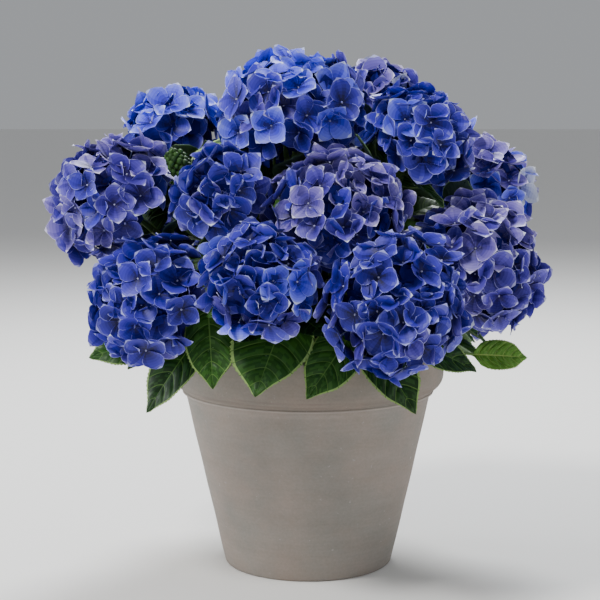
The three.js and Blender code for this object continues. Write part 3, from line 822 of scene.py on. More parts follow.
def chip_tree():
    """Boxes strewn over a surface, turned, tipped and scaled at random, with their corners moved a little."""
    tree = bpy.data.node_groups.new("strewn_chips", "GeometryNodeTree")
    tree.interface.new_socket("Geometry", in_out="INPUT", socket_type="NodeSocketGeometry")
    for name, kind, value in (
        ("Chips per square metre", "NodeSocketFloat", 10000.0),
        ("Seed", "NodeSocketInt", 1),
        ("Size", "NodeSocketVector", (0.006, 0.003, 0.0015)),
        ("Corner shift", "NodeSocketFloat", 0.001),
        ("Material", "NodeSocketMaterial", None),
    ):
        socket = tree.interface.new_socket(name, in_out="INPUT", socket_type=kind)
        if value is not None:
            socket.default_value = value
    tree.interface.new_socket("Geometry", in_out="OUTPUT", socket_type="NodeSocketGeometry")

    given = add_node(tree, "NodeGroupInput").outputs
    spread = {"Mesh": given["Geometry"], "Density": given["Chips per square metre"], "Seed": given["Seed"]}
    points = add_node(tree, "GeometryNodeDistributePointsOnFaces", spread, distribute_method="RANDOM")
    box = add_node(tree, "GeometryNodeMeshCube", {"Size": given["Size"]})
    turns = {0: (-CHIP_TIP, -CHIP_TIP, 0), 1: (CHIP_TIP, CHIP_TIP, 2 * math.pi)}
    turn = add_node(tree, "FunctionNodeRandomValue", turns, data_type="FLOAT_VECTOR")
    scales = dict(enumerate(CHIP_SCALES))
    scale = add_node(tree, "FunctionNodeRandomValue", scales, data_type="FLOAT_VECTOR")
    strewn = add_node(tree, "GeometryNodeInstanceOnPoints", {
        "Points": points.outputs["Points"],
        "Instance": box.outputs["Mesh"],
        "Rotation": turn.outputs["Value"],
        "Scale": scale.outputs["Value"],
    })
    realized = add_node(tree, "GeometryNodeRealizeInstances", {"Geometry": strewn.outputs["Instances"]})
    grain = add_node(tree, "ShaderNodeTexNoise", {"Scale": CHIP_GRAIN})
    middle = {0: grain.outputs["Color"], 1: (0.5, 0.5, 0.5)}
    centred = add_node(tree, "ShaderNodeVectorMath", middle, operation="SUBTRACT")
    size = {"Vector": centred.outputs["Vector"], "Scale": given["Corner shift"]}
    shift = add_node(tree, "ShaderNodeVectorMath", size, operation="SCALE")
    corners = {"Geometry": realized.outputs["Geometry"], "Offset": shift.outputs["Vector"]}
    moved = add_node(tree, "GeometryNodeSetPosition", corners)
    look = {"Geometry": moved.outputs["Geometry"], "Material": given["Material"]}
    finished = add_node(tree, "GeometryNodeSetMaterial", look)
    add_node(tree, "NodeGroupOutput", {"Geometry": finished.outputs["Geometry"]})
    return tree


def scatter_chips(points, faces, name, finish, seed, share, size):
    mesh = bpy.data.meshes.new(name + "_ground")
    mesh.from_pydata((np.array(points) * MM).tolist(), [], faces)
    mesh.update()
    area = sum(face.area for face in mesh.polygons)
    piece = bpy.data.objects.new(name, mesh)
    bpy.context.scene.collection.objects.link(piece)
    tree = bpy.data.node_groups.get("strewn_chips") or chip_tree()
    modifier = piece.modifiers.new("strewn", "NODES")
    modifier.node_group = tree
    values = {
        "Chips per square metre": CHIPS * share / area,
        "Seed": seed,
        "Size": [side * MM for side in size],
        "Corner shift": CHIP_SHIFT * MM,
        "Material": MATERIALS[finish],
    }
    for item in tree.interface.items_tree:
        if item.in_out == "INPUT" and item.name in values:
            modifier[item.identifier] = values[item.name]
    evaluated = piece.evaluated_get(bpy.context.evaluated_depsgraph_get())
    strewn = bpy.data.meshes.new_from_object(evaluated)
    piece.modifiers.remove(modifier)
    piece.data = strewn
    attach(piece, "root")


# Flower heads


def lay_out_heads():
    heads = []
    for number, (name, az, lift, reach, radius, family) in enumerate(HEADS):
        centre = heading(az, lift) * reach + CROWN_CENTRE
        heads.append({
            "number": number,
            "name": name,
            "az": az,
            "lift": lift,
            "reach": reach,
            "radius": radius,
            "family": family,
            "centre": centre,
            "axis": unit(centre - LEAN_CENTRE),
            "walls": [],
        })
    for head in heads:
        for other in heads:
            apart = other["centre"] - head["centre"]
            distance = np.linalg.norm(apart)
            if other is not head and distance < head["radius"] + other["radius"] + 2 * HEAD_GAP:
                at = (distance**2 + head["radius"] ** 2 - other["radius"] ** 2) / (2 * distance)
                head["walls"].append((apart / distance, at - HEAD_GAP))
    return heads


def reach_along(head, direction):
    along = direction @ head["axis"]
    across = math.sqrt(max(0, 1 - along * along))
    polar = head["radius"] * (HEAD_FLATTEN if along > 0 else UNDERSIDE_FLATTEN)
    return 1 / math.hypot(across / head["radius"], along / polar)


def inside(head, offset, spare=0):
    return all(offset @ normal <= at + spare for normal, at in head["walls"])


def floret_directions(head, pitch, start=0.0):
    """Golden-angle places over the head, each with room for a hexagon of the pitch."""
    depth = 1 - math.cos(FLORET_ANGLE)
    area = 2 * math.pi * head["radius"] ** 2 * depth
    count = round(area / (0.87 * pitch * pitch))
    side, other = square_to(head["axis"])
    directions = []
    for i in range(count):
        along = 1 - ((i + 0.5) / count) * depth
        across = math.sqrt(1 - along * along)
        directions.append(head["axis"] * along + across * spoke(side, other, i * GOLDEN_TURN + start))
    return directions


def sepal_grid(stations, across):
    """The faces of a sepal with, for each of its points, the share of its length, half angle and side."""
    columns = len(across)
    rows = len(stations) - 1
    faces = []
    for row in range(rows):
        for column in range(columns - 1):
            a = row * columns + column
            if row == rows - 1:
                faces.append((a, rows * columns, a + 1))
            else:
                faces.append((a, a + columns, a + columns + 1, a + 1))
    reach = np.array([at for at, _ in stations[:-1] for _ in across] + [stations[-1][0]])
    span = np.radians([span for _, span in stations[:-1] for _ in across] + [0.0])
    edge = np.array([side for _ in stations[:-1] for side in across] + [0.0])
    bow = np.sin(np.pi * np.clip((reach - stations[0][0]) / BOW_LENGTH, 0, 1))
    return {"faces": faces, "reach": reach, "span": span, "edge": edge, "bow": bow}


SEPAL = sepal_grid(SEPAL_STATIONS, SEPAL_ACROSS)
INNER_SEPAL = sepal_grid(INNER_STATIONS, INNER_ACROSS)


def sepal_zones(random):
    """A tone for each face. It rises from the throat outward, and each strip differs a little."""
    rows = len(SEPAL_STATIONS) - 1
    columns = len(SEPAL_ACROSS) - 1
    zones = []
    strips = random.uniform(-STRIP_VARIETY, STRIP_VARIETY, columns)
    # A few sepals get a whitish painted highlight along the rim
    rim = "glint" if random.uniform(0, 1) < GLINT_SHARE else SEPAL_TONES + 1
    for row in range(rows):
        for column in range(columns):
            if column in (0, columns - 1):
                zones.append(rim if SEPAL_STATIONS[row][0] > SEPAL_RIM_FROM else SIDE_RIM[row])
            elif row == rows - 1:
                zones.append(rim)
            else:
                tone = row * (SEPAL_TONES - 1) / (rows - 2) + strips[column]
                zones.append(int(min(SEPAL_TONES - 1, max(0, round(tone)))))
    return zones


def add_floret(heap, middle, facing, turn, length, family, random, shade=False):
    """Four sepals round one bowl. The second and fourth lie over the edges of the first and third."""
    grid = INNER_SEPAL if shade else SEPAL
    at = grid["reach"]
    edge = grid["edge"]
    side, other = square_to(facing)
    dish = FLORET_DISH * random.uniform(*DISH_SHARES)
    breadth = random.uniform(*SEPAL_BREADTHS)
    point = random.uniform(0, POINT_SHARE)
    span = grid["span"] * breadth * (1 - point * np.clip((at - POINT_FROM) / POINT_LENGTH, 0, 1))
    for i in range(4):
        over = i % 2
        wander = random.uniform(-EDGE_WANDER, EDGE_WANDER, len(at)) - EDGE_DRAW * edge**2
        reach = at * (1 + grid["bow"] * wander) * length * random.uniform(*SEPAL_SHARES)
        angle = turn + i * math.pi / 2 + random.uniform(-0.1, 0.1) + edge * span
        wave = random.uniform(*SEPAL_WAVES)
        phase = random.uniform(0, 2 * math.pi)
        tip_curl = random.uniform(*TIP_CURLS)
        # Bowl and overlap, then the lift of the edges, their wave, the curl of the tip and the sunk midline
        height = dish * (at**1.7 - 1) + (0.9 * over + 0.2) * np.minimum(1, at * 4)
        height += (1.1 * over - 0.3) * edge**2 * at
        height += wave * np.sin(at * 5 + phase) * edge * at
        height += tip_curl * np.maximum(0, at - TIP_CURL_FROM) ** 2 * 4
        height -= np.maximum(0, 1 - 2 * np.abs(edge)) * at
        points = middle + np.outer(reach * np.cos(angle), side) + np.outer(reach * np.sin(angle), other)
        points += np.outer(height, facing)
        if shade:
            finishes = ["sepal_shade"] * len(grid["faces"])
        else:
            finishes = [f"sepal_{family}_{zone}" for zone in sepal_zones(random)]
        heap.add(points, grid["faces"], finishes)
    return dish


def add_eye(heap, place, facing):
    side, other = square_to(facing)
    points = []
    for radius, height in ((EYE_RADIUS, -0.4), (EYE_RADIUS * 0.8, EYE_HEIGHT * 0.7)):
        for i in range(EYE_SIDES):
            points.append(place + radius * spoke(side, other, 2 * math.pi * i / EYE_SIDES) + facing * height)
    points.append(place + facing * EYE_HEIGHT)
    faces = []
    for i in range(EYE_SIDES):
        j = (i + 1) % EYE_SIDES
        faces += [(i, j, j + EYE_SIDES, i + EYE_SIDES), (i + EYE_SIDES, j + EYE_SIDES, 2 * EYE_SIDES)]
    heap.add(points, faces, ["eye"] * len(faces))


def tube(path, radius_at, sides):
    side, _ = square_to(unit(path[1] - path[0]))
    points = []
    last = len(path) - 1
    for k, centre in enumerate(path):
        axis = unit(path[min(last, k + 1)] - path[max(0, k - 1)])
        side = unit(side - axis * (side @ axis))
        other = np.cross(axis, side)
        for i in range(sides):
            a = 2 * math.pi * i / sides
            points.append(centre + radius_at(k / last, a) * spoke(side, other, a))
    faces = []
    for k in range(last):
        for i in range(sides):
            j = (i + 1) % sides
            a = k * sides
            faces.append((a + i, a + j, a + sides + j, a + sides + i))
    faces.append(tuple(range(sides))[::-1])
    faces.append(tuple(last * sides + i for i in range(sides)))
    return points, faces


def add_tube(heap, path, radius_at, sides, finish):
    points, faces = tube(path, radius_at, sides)
    heap.add(points, faces, [finish] * len(faces))


def bloom_florets(head):
    """Each floret of one head: place, facing, turn, sepal length, colour family and if it is in shade."""
    random = np.random.RandomState(500 + head["number"])
    mix = FAMILY_MIXES[head["family"]]
    outward = unit(head["centre"] - CROWN_CENTRE)
    rows = []
    for direction in floret_directions(head, FLORET_PITCH):
        full = reach_along(head, direction)
        facing = unit(direction + random.uniform(-1, 1, 3) * FLORET_TILT + UP * FLORET_RISE)
        length = random.uniform(*SEPAL_LENGTHS)
        height = math.sqrt(full * full - FLORET_REACH**2) + FLORET_LIFT
        height -= FLORET_DEPTH * random.uniform(0, 1) ** 1.5
        height -= OUTER_DEPTH * max(0, direction @ outward)
        turn = random.uniform(0, math.pi / 2)
        family = mix[random.randint(len(mix))]
        # Florets facing the sky take a paler family: painted light from above
        if random.uniform(0, 1) < SKY_LIT_SHARE * max(0, direction[2]):
            family = SKY_LIT_FAMILIES[head["family"]]
        side, other = square_to(facing)
        arms = [spoke(side, other, turn + i * math.pi / 2) * length * KEPT_INSIDE for i in range(4)]
        while height > full * LEAST_HEIGHT:
            middle = direction * height
            if all(inside(head, middle + arm, WALL_OVERLAP) for arm in arms):
                rows.append((middle + head["centre"], facing, turn, length, family, False))
                break
            height -= FLORET_STEP
    for direction in floret_directions(head, INNER_PITCH, INNER_START):
        middle = direction * reach_along(head, direction) * INNER_HEIGHT
        turn = random.uniform(0, math.pi / 2)
        if inside(head, middle + direction * 4, -INNER_ROOM):
            rows.append((middle + head["centre"], direction, turn, FLORET_REACH * INNER_SHARE, "deep", True))
    return rows, random


def make_blooms(heads):
    stalks = Heap()
    for head in heads:
        florets = Heap()
        rows, random = bloom_florets(head)
        node = head["centre"] - head["axis"] * NODE_DROP * head["radius"]
        for middle, facing, turn, reach, family, shade in rows:
            dish = add_floret(florets, middle, facing, turn, reach, family, random, shade)
            eye = middle - facing * dish
            if not shade:
                add_eye(florets, eye, facing)
            bend_at = (node + eye) / 2 + head["axis"] * 4
            path = [node, bend_at, eye - facing * 0.5]
            add_tube(stalks, path, lambda t, a: PEDICEL_RADIUS, PEDICEL_SIDES, "pedicel")
        foot = stalk_foot(head)
        path = [foot, (foot + node) / 2, node]
        add_tube(stalks, path, lambda t, a: STALK_RADIUS - t, STALK_SIDES, "petiole")
        slot = {"violet": "bloom_violet", "pale": "bloom_pale"}.get(head["family"], "bloom_blue")
        florets.piece("florets_" + head["name"][5:], slot, [head["name"]])
    stalks.piece("floret_stalks", "stem", [])


def add_bead(heap, centre, radius, finish):
    points = [centre + UP * radius]
    lower = 1 + BEAD_SIDES
    for height, shift in ((0.5, 0), (-0.5, 0.5)):
        for i in range(BEAD_SIDES):
            a = 2 * math.pi * (i + shift) / BEAD_SIDES
            points.append(centre + radius * np.array([0.87 * math.cos(a), 0.87 * math.sin(a), height]))
    points.append(centre - UP * radius)
    faces = []
    for i in range(BEAD_SIDES):
        j = (i + 1) % BEAD_SIDES
        faces += [(0, 1 + i, 1 + j), (1 + i, lower + i, lower + j, 1 + j)]
        faces.append((lower + i, lower + BEAD_SIDES, lower + j))
    heap.add(points, faces, [finish] * len(faces))


def make_young_head(limbs):
    random = np.random.RandomState(640)
    heap = Heap()
    centre = np.array(YOUNG_HEAD, float)
    start, axis = along_path(limbs[YOUNG_LIMB]["path"], YOUNG_AT)
    up = unit(centre - start + UP * 20)
    node = centre - up * YOUNG_LENGTH * 0.7
    twig = bend(start, unit(up - axis * 0.2), node, up, TWIG_STEPS)
    add_tube(heap, twig, lambda t, a: YOUNG_TWIG[0] - YOUNG_TWIG[1] * t, TWIG_SIDES, "petiole")
    side, other = square_to(up)
    for i in range(YOUNG_BEADS):
        along = 1 - (i + 0.5) / YOUNG_BEADS * 1.25
        across = math.sqrt(1 - along * along)
        out = across * spoke(side, other, i * GOLDEN_TURN) * YOUNG_RADIUS
        bead = centre + (out + up * along * YOUNG_LENGTH) * random.uniform(0.84, 1.04)
        stalk = [node, (node + bead) / 2 + up, bead]
        add_tube(heap, stalk, lambda t, a: YOUNG_STALK_RADIUS, PEDICEL_SIDES, "petiole")
        add_bead(heap, bead, random.uniform(*YOUNG_BEAD_RADII), ["bud", "bud_light"][random.randint(2)])
    heap.piece("young_head", "leaf", [])


# Canes and shoots


def stalk_foot(head):
    below = head["radius"] * UNDERSIDE_FLATTEN * CORE_SHARE + STALK_LENGTH
    return head["centre"] - head["axis"] * below


def bend(start, start_heading, end, end_heading, steps):
    span = np.linalg.norm(end - start)
    first = start + start_heading * span * BEND_PULL
    second = end - end_heading * span * BEND_PULL
    path = []
    for k in range(steps + 1):
        t = k / steps
        path.append(start * (1 - t) ** 3 + 3 * first * t * (1 - t) ** 2
                    + 3 * second * t * t * (1 - t) + end * t**3)
    return path


def limb_tip(head):
    return stalk_foot(head) - head["axis"] * CLEAR


def along_path(path, t):
    at = t * (len(path) - 1)
    k = min(len(path) - 2, math.floor(at))
    return path[k] + (path[k + 1] - path[k]) * (at - k), unit(path[k + 1] - path[k])


def lay_out_limbs(heads):
    limbs = {}
    for number in CANES:
        head = heads[number]
        away = heading(head["az"], 0)
        foot = away * head["reach"] * math.cos(math.radians(head["lift"])) * CANE_FOOT_SHARE
        foot[2] = SOIL_TOP + CLEAR
        rise = unit(UP + CANE_LEAN * away)
        run = (foot, rise, limb_tip(head), head["axis"])
        limbs[number] = {"run": run, "path": bend(*run, LIMB_STEPS), "foot": CANE_FOOT_RADIUS}
    for number, cane, at in SHOOTS:
        head = heads[number]
        point, axis = along_path(limbs[cane]["path"], at)
        tip = limb_tip(head)
        away = tip - point
        away = unit(away - axis * (away @ axis))
        run = (point, unit(away + SHOOT_LEAN * axis), tip, head["axis"])
        limbs[number] = {"run": run, "path": bend(*run, LIMB_STEPS), "foot": SHOOT_FOOT_RADIUS}
    return limbs


def make_limbs(heads, limbs):
    heap = Heap()
    nodes = []
    for number, limb in limbs.items():
        random = np.random.RandomState(700 + number)
        path = bend(*limb["run"], BARK_STEPS)
        length = sum(np.linalg.norm(b - a) for a, b in zip(path, path[1:]))
        joints = np.arange(random.uniform(10, 22), length - 6, JOINT_SPACING)
        ridges = random.uniform(0, 2 * math.pi, 3)

        def radius_at(t, a):
            smooth_radius = limb["foot"] + (STALK_RADIUS - limb["foot"]) * t
            swell = sum(math.exp(-((t * length - joint) / JOINT_LENGTH) ** 2) for joint in joints)
            relief = math.sin(5 * a + ridges[0]) + math.sin(9 * a + ridges[1] + t * 14)
            return smooth_radius * 0.97 + JOINT_SWELL * swell + BARK_RELIEF * relief * (1 - 0.6 * t)

        add_tube(heap, path, radius_at, BARK_SIDES, "bark")
        kind = "cane_" if number in CANES else "shoot_"
        nodes.append(kind + heads[number]["name"][5:])
    heap.piece("canes_and_shoots", "stem", nodes)


# Leaves


def leaf_try(spray, k, attempt):
    share = 1 - LEAF_SHRINK * attempt
    fixed = spray.get("leaves")
    random = seeded(spray["seed"] + 20 * k + (0 if fixed else attempt))
    if fixed:
        names = ("az", "reach", "z", "turn", "dip", "length", "width", "look")
        row = dict(zip(names, fixed[k]))
    else:
        row = spray["rule"](spray, k, random)
    along = heading(row["turn"], -row["dip"])
    tip = heading(row["az"], 0) * row["reach"]
    tip[2] = row["z"]
    face = heading(row["look"], LEAF_LOOK)
    face = unit(face - along * (face @ along))
    face = turned_about(face, along, math.radians(between(random, -LEAF_ROLL, LEAF_ROLL)))
    return {
        "along": along,
        "tip": tip,
        "face": face,
        "side": np.cross(along, face),
        "droop": between(random, *LEAF_DROOPS),
        "length": row["length"] * share,
        "width": row["width"] * share,
    }


def leaf_point(leaf, at, across, rise):
    sag = leaf["droop"] * leaf["length"] * (at * at - 1)
    point = leaf["tip"] + leaf["along"] * (at - 1) * leaf["length"]
    return point + leaf["side"] * across + leaf["face"] * (rise - sag)


def varied(random, measure):
    middle, low, high = measure
    return middle + between(random, low, high)


def skirt_leaf(row, k, random):
    side = SKIRT_SIDES[k]
    leaf = SKIRT_LEAF
    return {
        "az": row["az"] + side * SKIRT_SPREAD + between(random, -5, 5),
        "reach": varied(random, leaf["reach"]),
        "z": varied(random, leaf["z"]) + (SKIRT_LIFT if abs(side) < 1 else 0),
        "turn": row["az"] + side * 26 + between(random, -14, 14),
        "dip": varied(random, leaf["dip"]),
        "length": varied(random, leaf["length"]),
        "width": varied(random, leaf["width"]),
        "look": row["az"] + side * 8,
    }


def gap_leaf(row, k, random):
    side = GAP_SIDES[k]
    az = row["az"] + side * GAP_SPREAD + between(random, -6, 6)
    lift = row["lift"] + between(random, -12, 12)
    tip = heading(az, lift) * GAP_REACH + CROWN_CENTRE
    return {
        "az": az,
        "reach": math.hypot(tip[0], tip[1]),
        "z": tip[2],
        "turn": az + side * 20 + between(random, -20, 20),
        "dip": GAP_DIP - row["lift"] + between(random, -16, 16),
        "length": varied(random, GAP_LEAF["length"]),
        "width": varied(random, GAP_LEAF["width"]),
        "look": az,
    }


def lay_out_sprays():
    sprays = [{"name": name, "limb": limb, "at": at, "leaves": leaves, "count": len(leaves)}
              for name, limb, at, leaves in FRONT_SPRAYS]
    for kind, rows, rule, sides in (
        ("skirt", SKIRT_SPRAYS, skirt_leaf, SKIRT_SIDES),
        ("inner", GAP_SPRAYS, gap_leaf, GAP_SIDES),
    ):
        for k, row in enumerate(rows):
            spray = dict(zip(("limb", "at", "az", "lift"), row))
            spray.update({"name": f"leaves_{kind}_{k + 1}", "rule": rule, "count": len(sides)})
            sprays.append(spray)
    for number, spray in enumerate(sprays):
        spray["seed"] = 1000 + 100 * number
    return sprays


def node_points(name):
    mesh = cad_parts[name].data
    places = np.empty(len(mesh.vertices) * 3, np.float32)
    mesh.vertices.foreach_get("co", places)
    return places.reshape(-1, 3).astype(float) / MM


# A spray keeps the leaves that its solid has: those whose tip and sides are corners of the solid
def kept_leaves(spray):
    corners = node_points(spray["name"])
    leaves = []
    for k in range(spray["count"]):
        for attempt in range(LEAF_TRIES):
            leaf = leaf_try(spray, k, attempt)
            half = leaf["width"] / 2
            marks = [leaf["tip"]]
            for at, width in LEAF_STATIONS:
                for side in (-1, 1):
                    marks.append(leaf_point(leaf, at, side * half * width, half * width * LEAF_FOLD))
            found = [np.linalg.norm(corners - mark, axis=1).min() < CORNER_MATCH for mark in marks]
            if found[0] and sum(found) >= 4:
                leaves.append(leaf)
                break
    return leaves


def blade_width(at):
    """Share of the half width, about 1 at the widest place, with a drawn-out tip."""
    point = min(1, max(0, (at - TIP_FROM) / (1 - TIP_FROM)))
    return at**0.6 * (1 - at) ** 0.75 / 0.395 * (1 - TIP_DRAW * point * point * (3 - 2 * point))


def blade_lines():
    """The lines across a blade, as shares of its length at the midrib, and what lies between each two."""
    places = [0.0]
    kinds = []
    half = VEIN_HALF_WIDTH
    previous = 0.0
    for vein in range(VEINS):
        centre = (vein + 0.75) / (VEINS + 0.9)
        for k in range(1, BETWEEN_VEINS + 1):
            places.append(previous + (centre - half - previous) * k / (BETWEEN_VEINS + 1))
        places += [centre - half, centre + half]
        kinds += ["panel"] * (BETWEEN_VEINS + 1) + ["vein"]
        previous = centre + half
    places += [previous + (1 - previous) * k / 2 for k in (1, 2)]
    kinds += ["panel", "panel"]
    return places, kinds


BLADE_LINES, BLADE_KINDS = blade_lines()


def quilt_at(line):
    """How far a line stands between two veins: 0 beside a vein, 1 half way."""
    beside = [BLADE_KINDS[k] == "vein" for k in (max(0, line - 1), min(line, len(BLADE_KINDS) - 1))]
    return 0.0 if any(beside) else 1.0


def add_blade(heap, leaf, finish, columns_at, edge_highlight):
    half = leaf["width"] / 2
    rib = MIDRIB_WIDTH / 2 / half
    steps = [0, rib] + columns_at
    across = [-s for s in reversed(steps)] + steps[1:]
    columns = len(across)
    rows = len(BLADE_LINES)
    random = np.random.RandomState(int(leaf["phase"] * 10000))
    points = [leaf_point(leaf, 0, 0, 0)]
    grid = {}
    for line in range(1, rows - 1):
        start = BLADE_LINES[line]
        edge_at = start**0.5
        width = blade_width(edge_at) * half
        for column, s in enumerate(across):
            reach = abs(s)
            at = start + (edge_at - start) * reach**1.6
            out = s * width
            if reach == 1:
                out *= 1 + TOOTH * (line % 2)
                at += TOOTH_LEAN * (line % 2)
            puff = 0
            if rib < reach < EDGE_FROM:
                puff = QUILT * quilt_at(line) * math.sin(math.pi * min(1, reach * 1.04)) ** 0.6
                puff += PUCKER * random.uniform(-1, 1)
            wave = leaf["wave"] * math.sin(at * 9 + leaf["phase"] + (1.4 if s > 0 else 0)) * reach**2
            rise = abs(out) * LEAF_FOLD + puff + wave + (MIDRIB_RISE if reach <= rib else 0)
            grid[line, column] = len(points)
            points.append(leaf_point(leaf, at, out, rise))
    tip = len(points)
    points.append(leaf["tip"])
    under = {}
    for line in range(1, rows - 1):
        for column in range(columns):
            if column in (0, columns - 1):
                under[line, column] = grid[line, column]
            else:
                under[line, column] = len(points)
                points.append(points[grid[line, column]] - leaf["face"] * BLADE_THICKNESS)
    faces = []
    finishes = []
    for line in range(rows - 1):
        for column in range(columns - 1):
            middle = abs(across[column] + across[column + 1]) / 2
            if BLADE_KINDS[line] == "vein" or middle < rib:
                top = "leaf_vein_pale" if finish == "leaf_bright" else "leaf_vein"
            # A pale strip along the margin: a painted highlight where light shines through the thin edge
            elif middle > EDGE_FROM and edge_highlight:
                top = "leaf_edge"
            else:
                top = finish + "_lit" if random.uniform(0, 1) < LIT_SHARE else finish
            for table, flip, kind in ((grid, False, top), (under, True, "leaf_under")):
                if line == 0:
                    face = [0, table[1, column], table[1, column + 1]]
                elif line == rows - 2:
                    face = [table[line, column], tip, table[line, column + 1]]
                else:
                    face = [table[line, column], table[line + 1, column],
                            table[line + 1, column + 1], table[line, column + 1]]
                faces.append(face if flip else face[::-1])
                finishes.append(kind)
    heap.add(points, faces, finishes)


def add_petiole(heap, leaf, fork, out):
    base = leaf_point(leaf, 0, 0, 0)
    into = unit(leaf_point(leaf, 0.1, 0, 0) - base)
    first = unit(unit(base - fork) + 0.3 * out)
    path = bend(fork - 2 * out, first, base + into * 2, into, TWIG_STEPS)
    add_tube(heap, path, lambda t, a: PETIOLE_RADIUS * (1.15 - 0.35 * t), TWIG_SIDES, "petiole")


def blade_marks(leaf):
    marks = []
    for at in (0.12, 0.3, 0.5, 0.7, 0.88, 1):
        half = blade_width(at) * leaf["width"] / 2
        for across in (-1, 0, 1):
            marks.append(leaf_point(leaf, at, half * across, half * LEAF_FOLD * abs(across)))
    return np.array(marks)


def stands_free(marks, heads, others):
    """True if no mark is in a flower head, in the pot, outside the crown or close to another leaf."""
    out = np.hypot(marks[:, 0], marks[:, 1])
    if np.any((out < RIM_RADIUS + POT_ROOM) & (marks[:, 2] < POT_HEIGHT + POT_ROOM)):
        return False
    if np.any(np.linalg.norm(marks - CROWN_CENTRE, axis=1) > CROWN_REACH):
        return False
    if np.any(marks[:, 2] < SOIL_TOP + SOIL_ROOM):
        return False
    for head in heads:
        offsets = marks - head["centre"]
        lengths = np.linalg.norm(offsets, axis=1)
        for offset, length in zip(offsets, lengths):
            if length < head["radius"] and length < reach_along(head, offset / length) * HEAD_SHARE:
                return False
    return all(np.linalg.norm(marks[:, None] - other[None], axis=2).min() > PAIR_ROOM for other in others)


def lay_out_pairs(heads, limbs, others):
    """Opposite leaves up each limb, each pair a quarter turn on from the last."""
    leaves = []
    for number, limb in limbs.items():
        random = np.random.RandomState(1300 + number)
        for row, at in enumerate(PAIRS_AT):
            point, axis = along_path(limb["path"], at)
            side, other = square_to(axis)
            for turn in (0, math.pi):
                for _ in range(PAIR_TRIES):
                    a = turn + row * math.pi / 2 + random.uniform(-0.75, 0.75)
                    away = spoke(side, other, a)
                    along = unit(away + axis * random.uniform(-0.2, 1.3))
                    length = random.uniform(*PAIR_LENGTHS)
                    petiole = random.uniform(*PAIR_PETIOLES)
                    face = UP + 0.6 * heading(heads[number]["az"], 0)
                    leaf = {
                        "along": along,
                        "tip": point + along * (length + petiole),
                        "face": unit(face - along * (face @ along)),
                        "droop": random.uniform(*PAIR_DROOPS),
                        "length": length,
                        "width": length * random.uniform(*PAIR_SLIMNESS),
                        "wave": random.uniform(*PAIR_WAVES),
                        "phase": random.uniform(0, 2 * math.pi),
                        "from": point,
                        "out": away,
                    }
                    leaf["side"] = np.cross(along, leaf["face"])
                    marks = blade_marks(leaf)
                    if stands_free(marks, heads, others):
                        leaves.append(leaf)
                        others.append(marks)
                        break
    return leaves


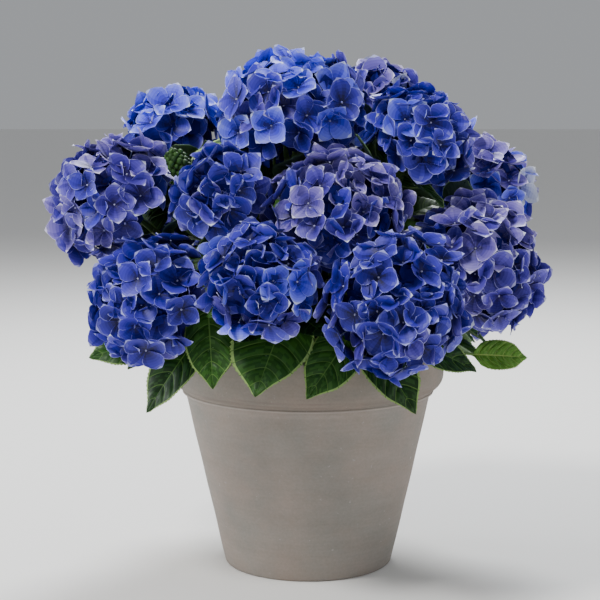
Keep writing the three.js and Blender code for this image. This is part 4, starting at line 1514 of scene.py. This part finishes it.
def make_leaves(heads, limbs):
    sprays = lay_out_sprays()
    stems = Heap()
    others = []
    for number, spray in enumerate(sprays):
        random = np.random.RandomState(900 + number)
        heap = Heap()
        limb = limbs[spray["limb"]]
        point, axis = along_path(limb["path"], spray["at"])
        bases = [leaf_point(leaf_try(spray, k, 0), 0, 0, 0) for k in range(spray["count"])]
        out = sum(bases) / len(bases) - point
        out = unit(out - axis * 0.8 * (out @ axis))
        fork = point + out * TWIG_LENGTH
        add_tube(stems, [point, (point + fork) / 2, fork], lambda t, a: TWIG_RADIUS, TWIG_SIDES, "petiole")
        leaves = kept_leaves(spray)
        for leaf in leaves:
            leaf["wave"] = random.uniform(*LEAF_WAVES)
            leaf["phase"] = random.uniform(0, 2 * math.pi)
            finish = ["leaf_dark", "leaf_dark", "leaf_mid"][random.randint(3)]
            if spray["name"] == "leaves_right" and leaf is leaves[-1]:
                finish = "leaf_bright"
            add_blade(heap, leaf, finish, LEAF_ACROSS, True)
            add_petiole(stems, leaf, fork, out)
            others.append(blade_marks(leaf))
        heap.piece("blades_" + spray["name"][7:], "leaf", [spray["name"]])
    heap = Heap()
    pairs = lay_out_pairs(heads, limbs, others)
    point, axis = along_path(limbs[LEFT_LEAF_LIMB]["path"], LEFT_LEAF_AT)
    leaf = leaf_try({"leaves": [LEFT_LEAF], "seed": LEFT_LEAF_SEED}, 0, 0)
    leaf.update({"wave": 1.0, "phase": 2.0})
    add_blade(heap, leaf, "leaf_mid", LEAF_ACROSS, True)
    add_petiole(stems, leaf, point, unit(leaf_point(leaf, 0, 0, 0) - point))
    for leaf in pairs:
        add_blade(heap, leaf, "leaf_mid" if leaf["phase"] < 2 else "leaf_dark", PAIRED_ACROSS, False)
        add_petiole(stems, leaf, leaf["from"], leaf["out"])
    heap.piece("blades_paired", "leaf", [])
    stems.piece("leaf_stems", "stem", [])


# Floor, light and camera


def make_floor():
    mesh = bpy.data.meshes.new("floor")
    corners = [(x * FLOOR_REACH, y * FLOOR_REACH, 0) for x, y in ((-1, -1), (1, -1), (1, 1), (-1, 1))]
    mesh.from_pydata(corners, [], [(0, 1, 2, 3)])
    material, _ = new_material("pale_floor", (0.86, 0.85, 0.83), 0.8, 0.2)
    mesh.materials.append(material)
    floor = bpy.data.objects.new("floor", mesh)
    bpy.context.scene.collection.objects.link(floor)


def add_lamp(name, place, aim, size, power, colour):
    lamp = bpy.data.lights.new(name, "AREA")
    lamp.shape = "DISK"
    lamp.size = size
    lamp.energy = power
    lamp.color = colour
    holder = bpy.data.objects.new(name, lamp)
    bpy.context.scene.collection.objects.link(holder)
    holder.location = place
    away = unit(np.array(place) - np.array(aim))
    pitch = math.acos(away[2])
    holder.rotation_euler = (pitch, 0, math.atan2(away[0], -away[1]))


def make_light():
    world = bpy.data.worlds.new("soft_daylight")
    bpy.context.scene.world = world
    world.use_nodes = True
    background = world.node_tree.nodes["Background"]
    background.inputs["Color"].default_value = (*DAYLIGHT, 1)
    background.inputs["Strength"].default_value = DAYLIGHT_STRENGTH
    for lamp in LAMPS:
        add_lamp(*lamp)


def make_camera():
    camera = bpy.data.cameras.new("camera")
    camera.sensor_width = SENSOR_WIDTH
    camera.lens = FOCAL_PIXELS * SENSOR_WIDTH / IMAGE_SIZE
    camera.clip_end = 100
    holder = bpy.data.objects.new("camera", camera)
    bpy.context.scene.collection.objects.link(holder)
    holder.location = [c * MM for c in CAMERA_PLACE]
    holder.rotation_euler = (math.pi / 2 - CAMERA_PITCH, 0, CAMERA_YAW)
    bpy.context.scene.camera = holder


make_camera()
make_light()
make_floor()
heads = lay_out_heads()
limbs = lay_out_limbs(heads)
make_pot()
make_soil()
make_limbs(heads, limbs)
make_blooms(heads)
make_young_head(limbs)
make_leaves(heads, limbs)
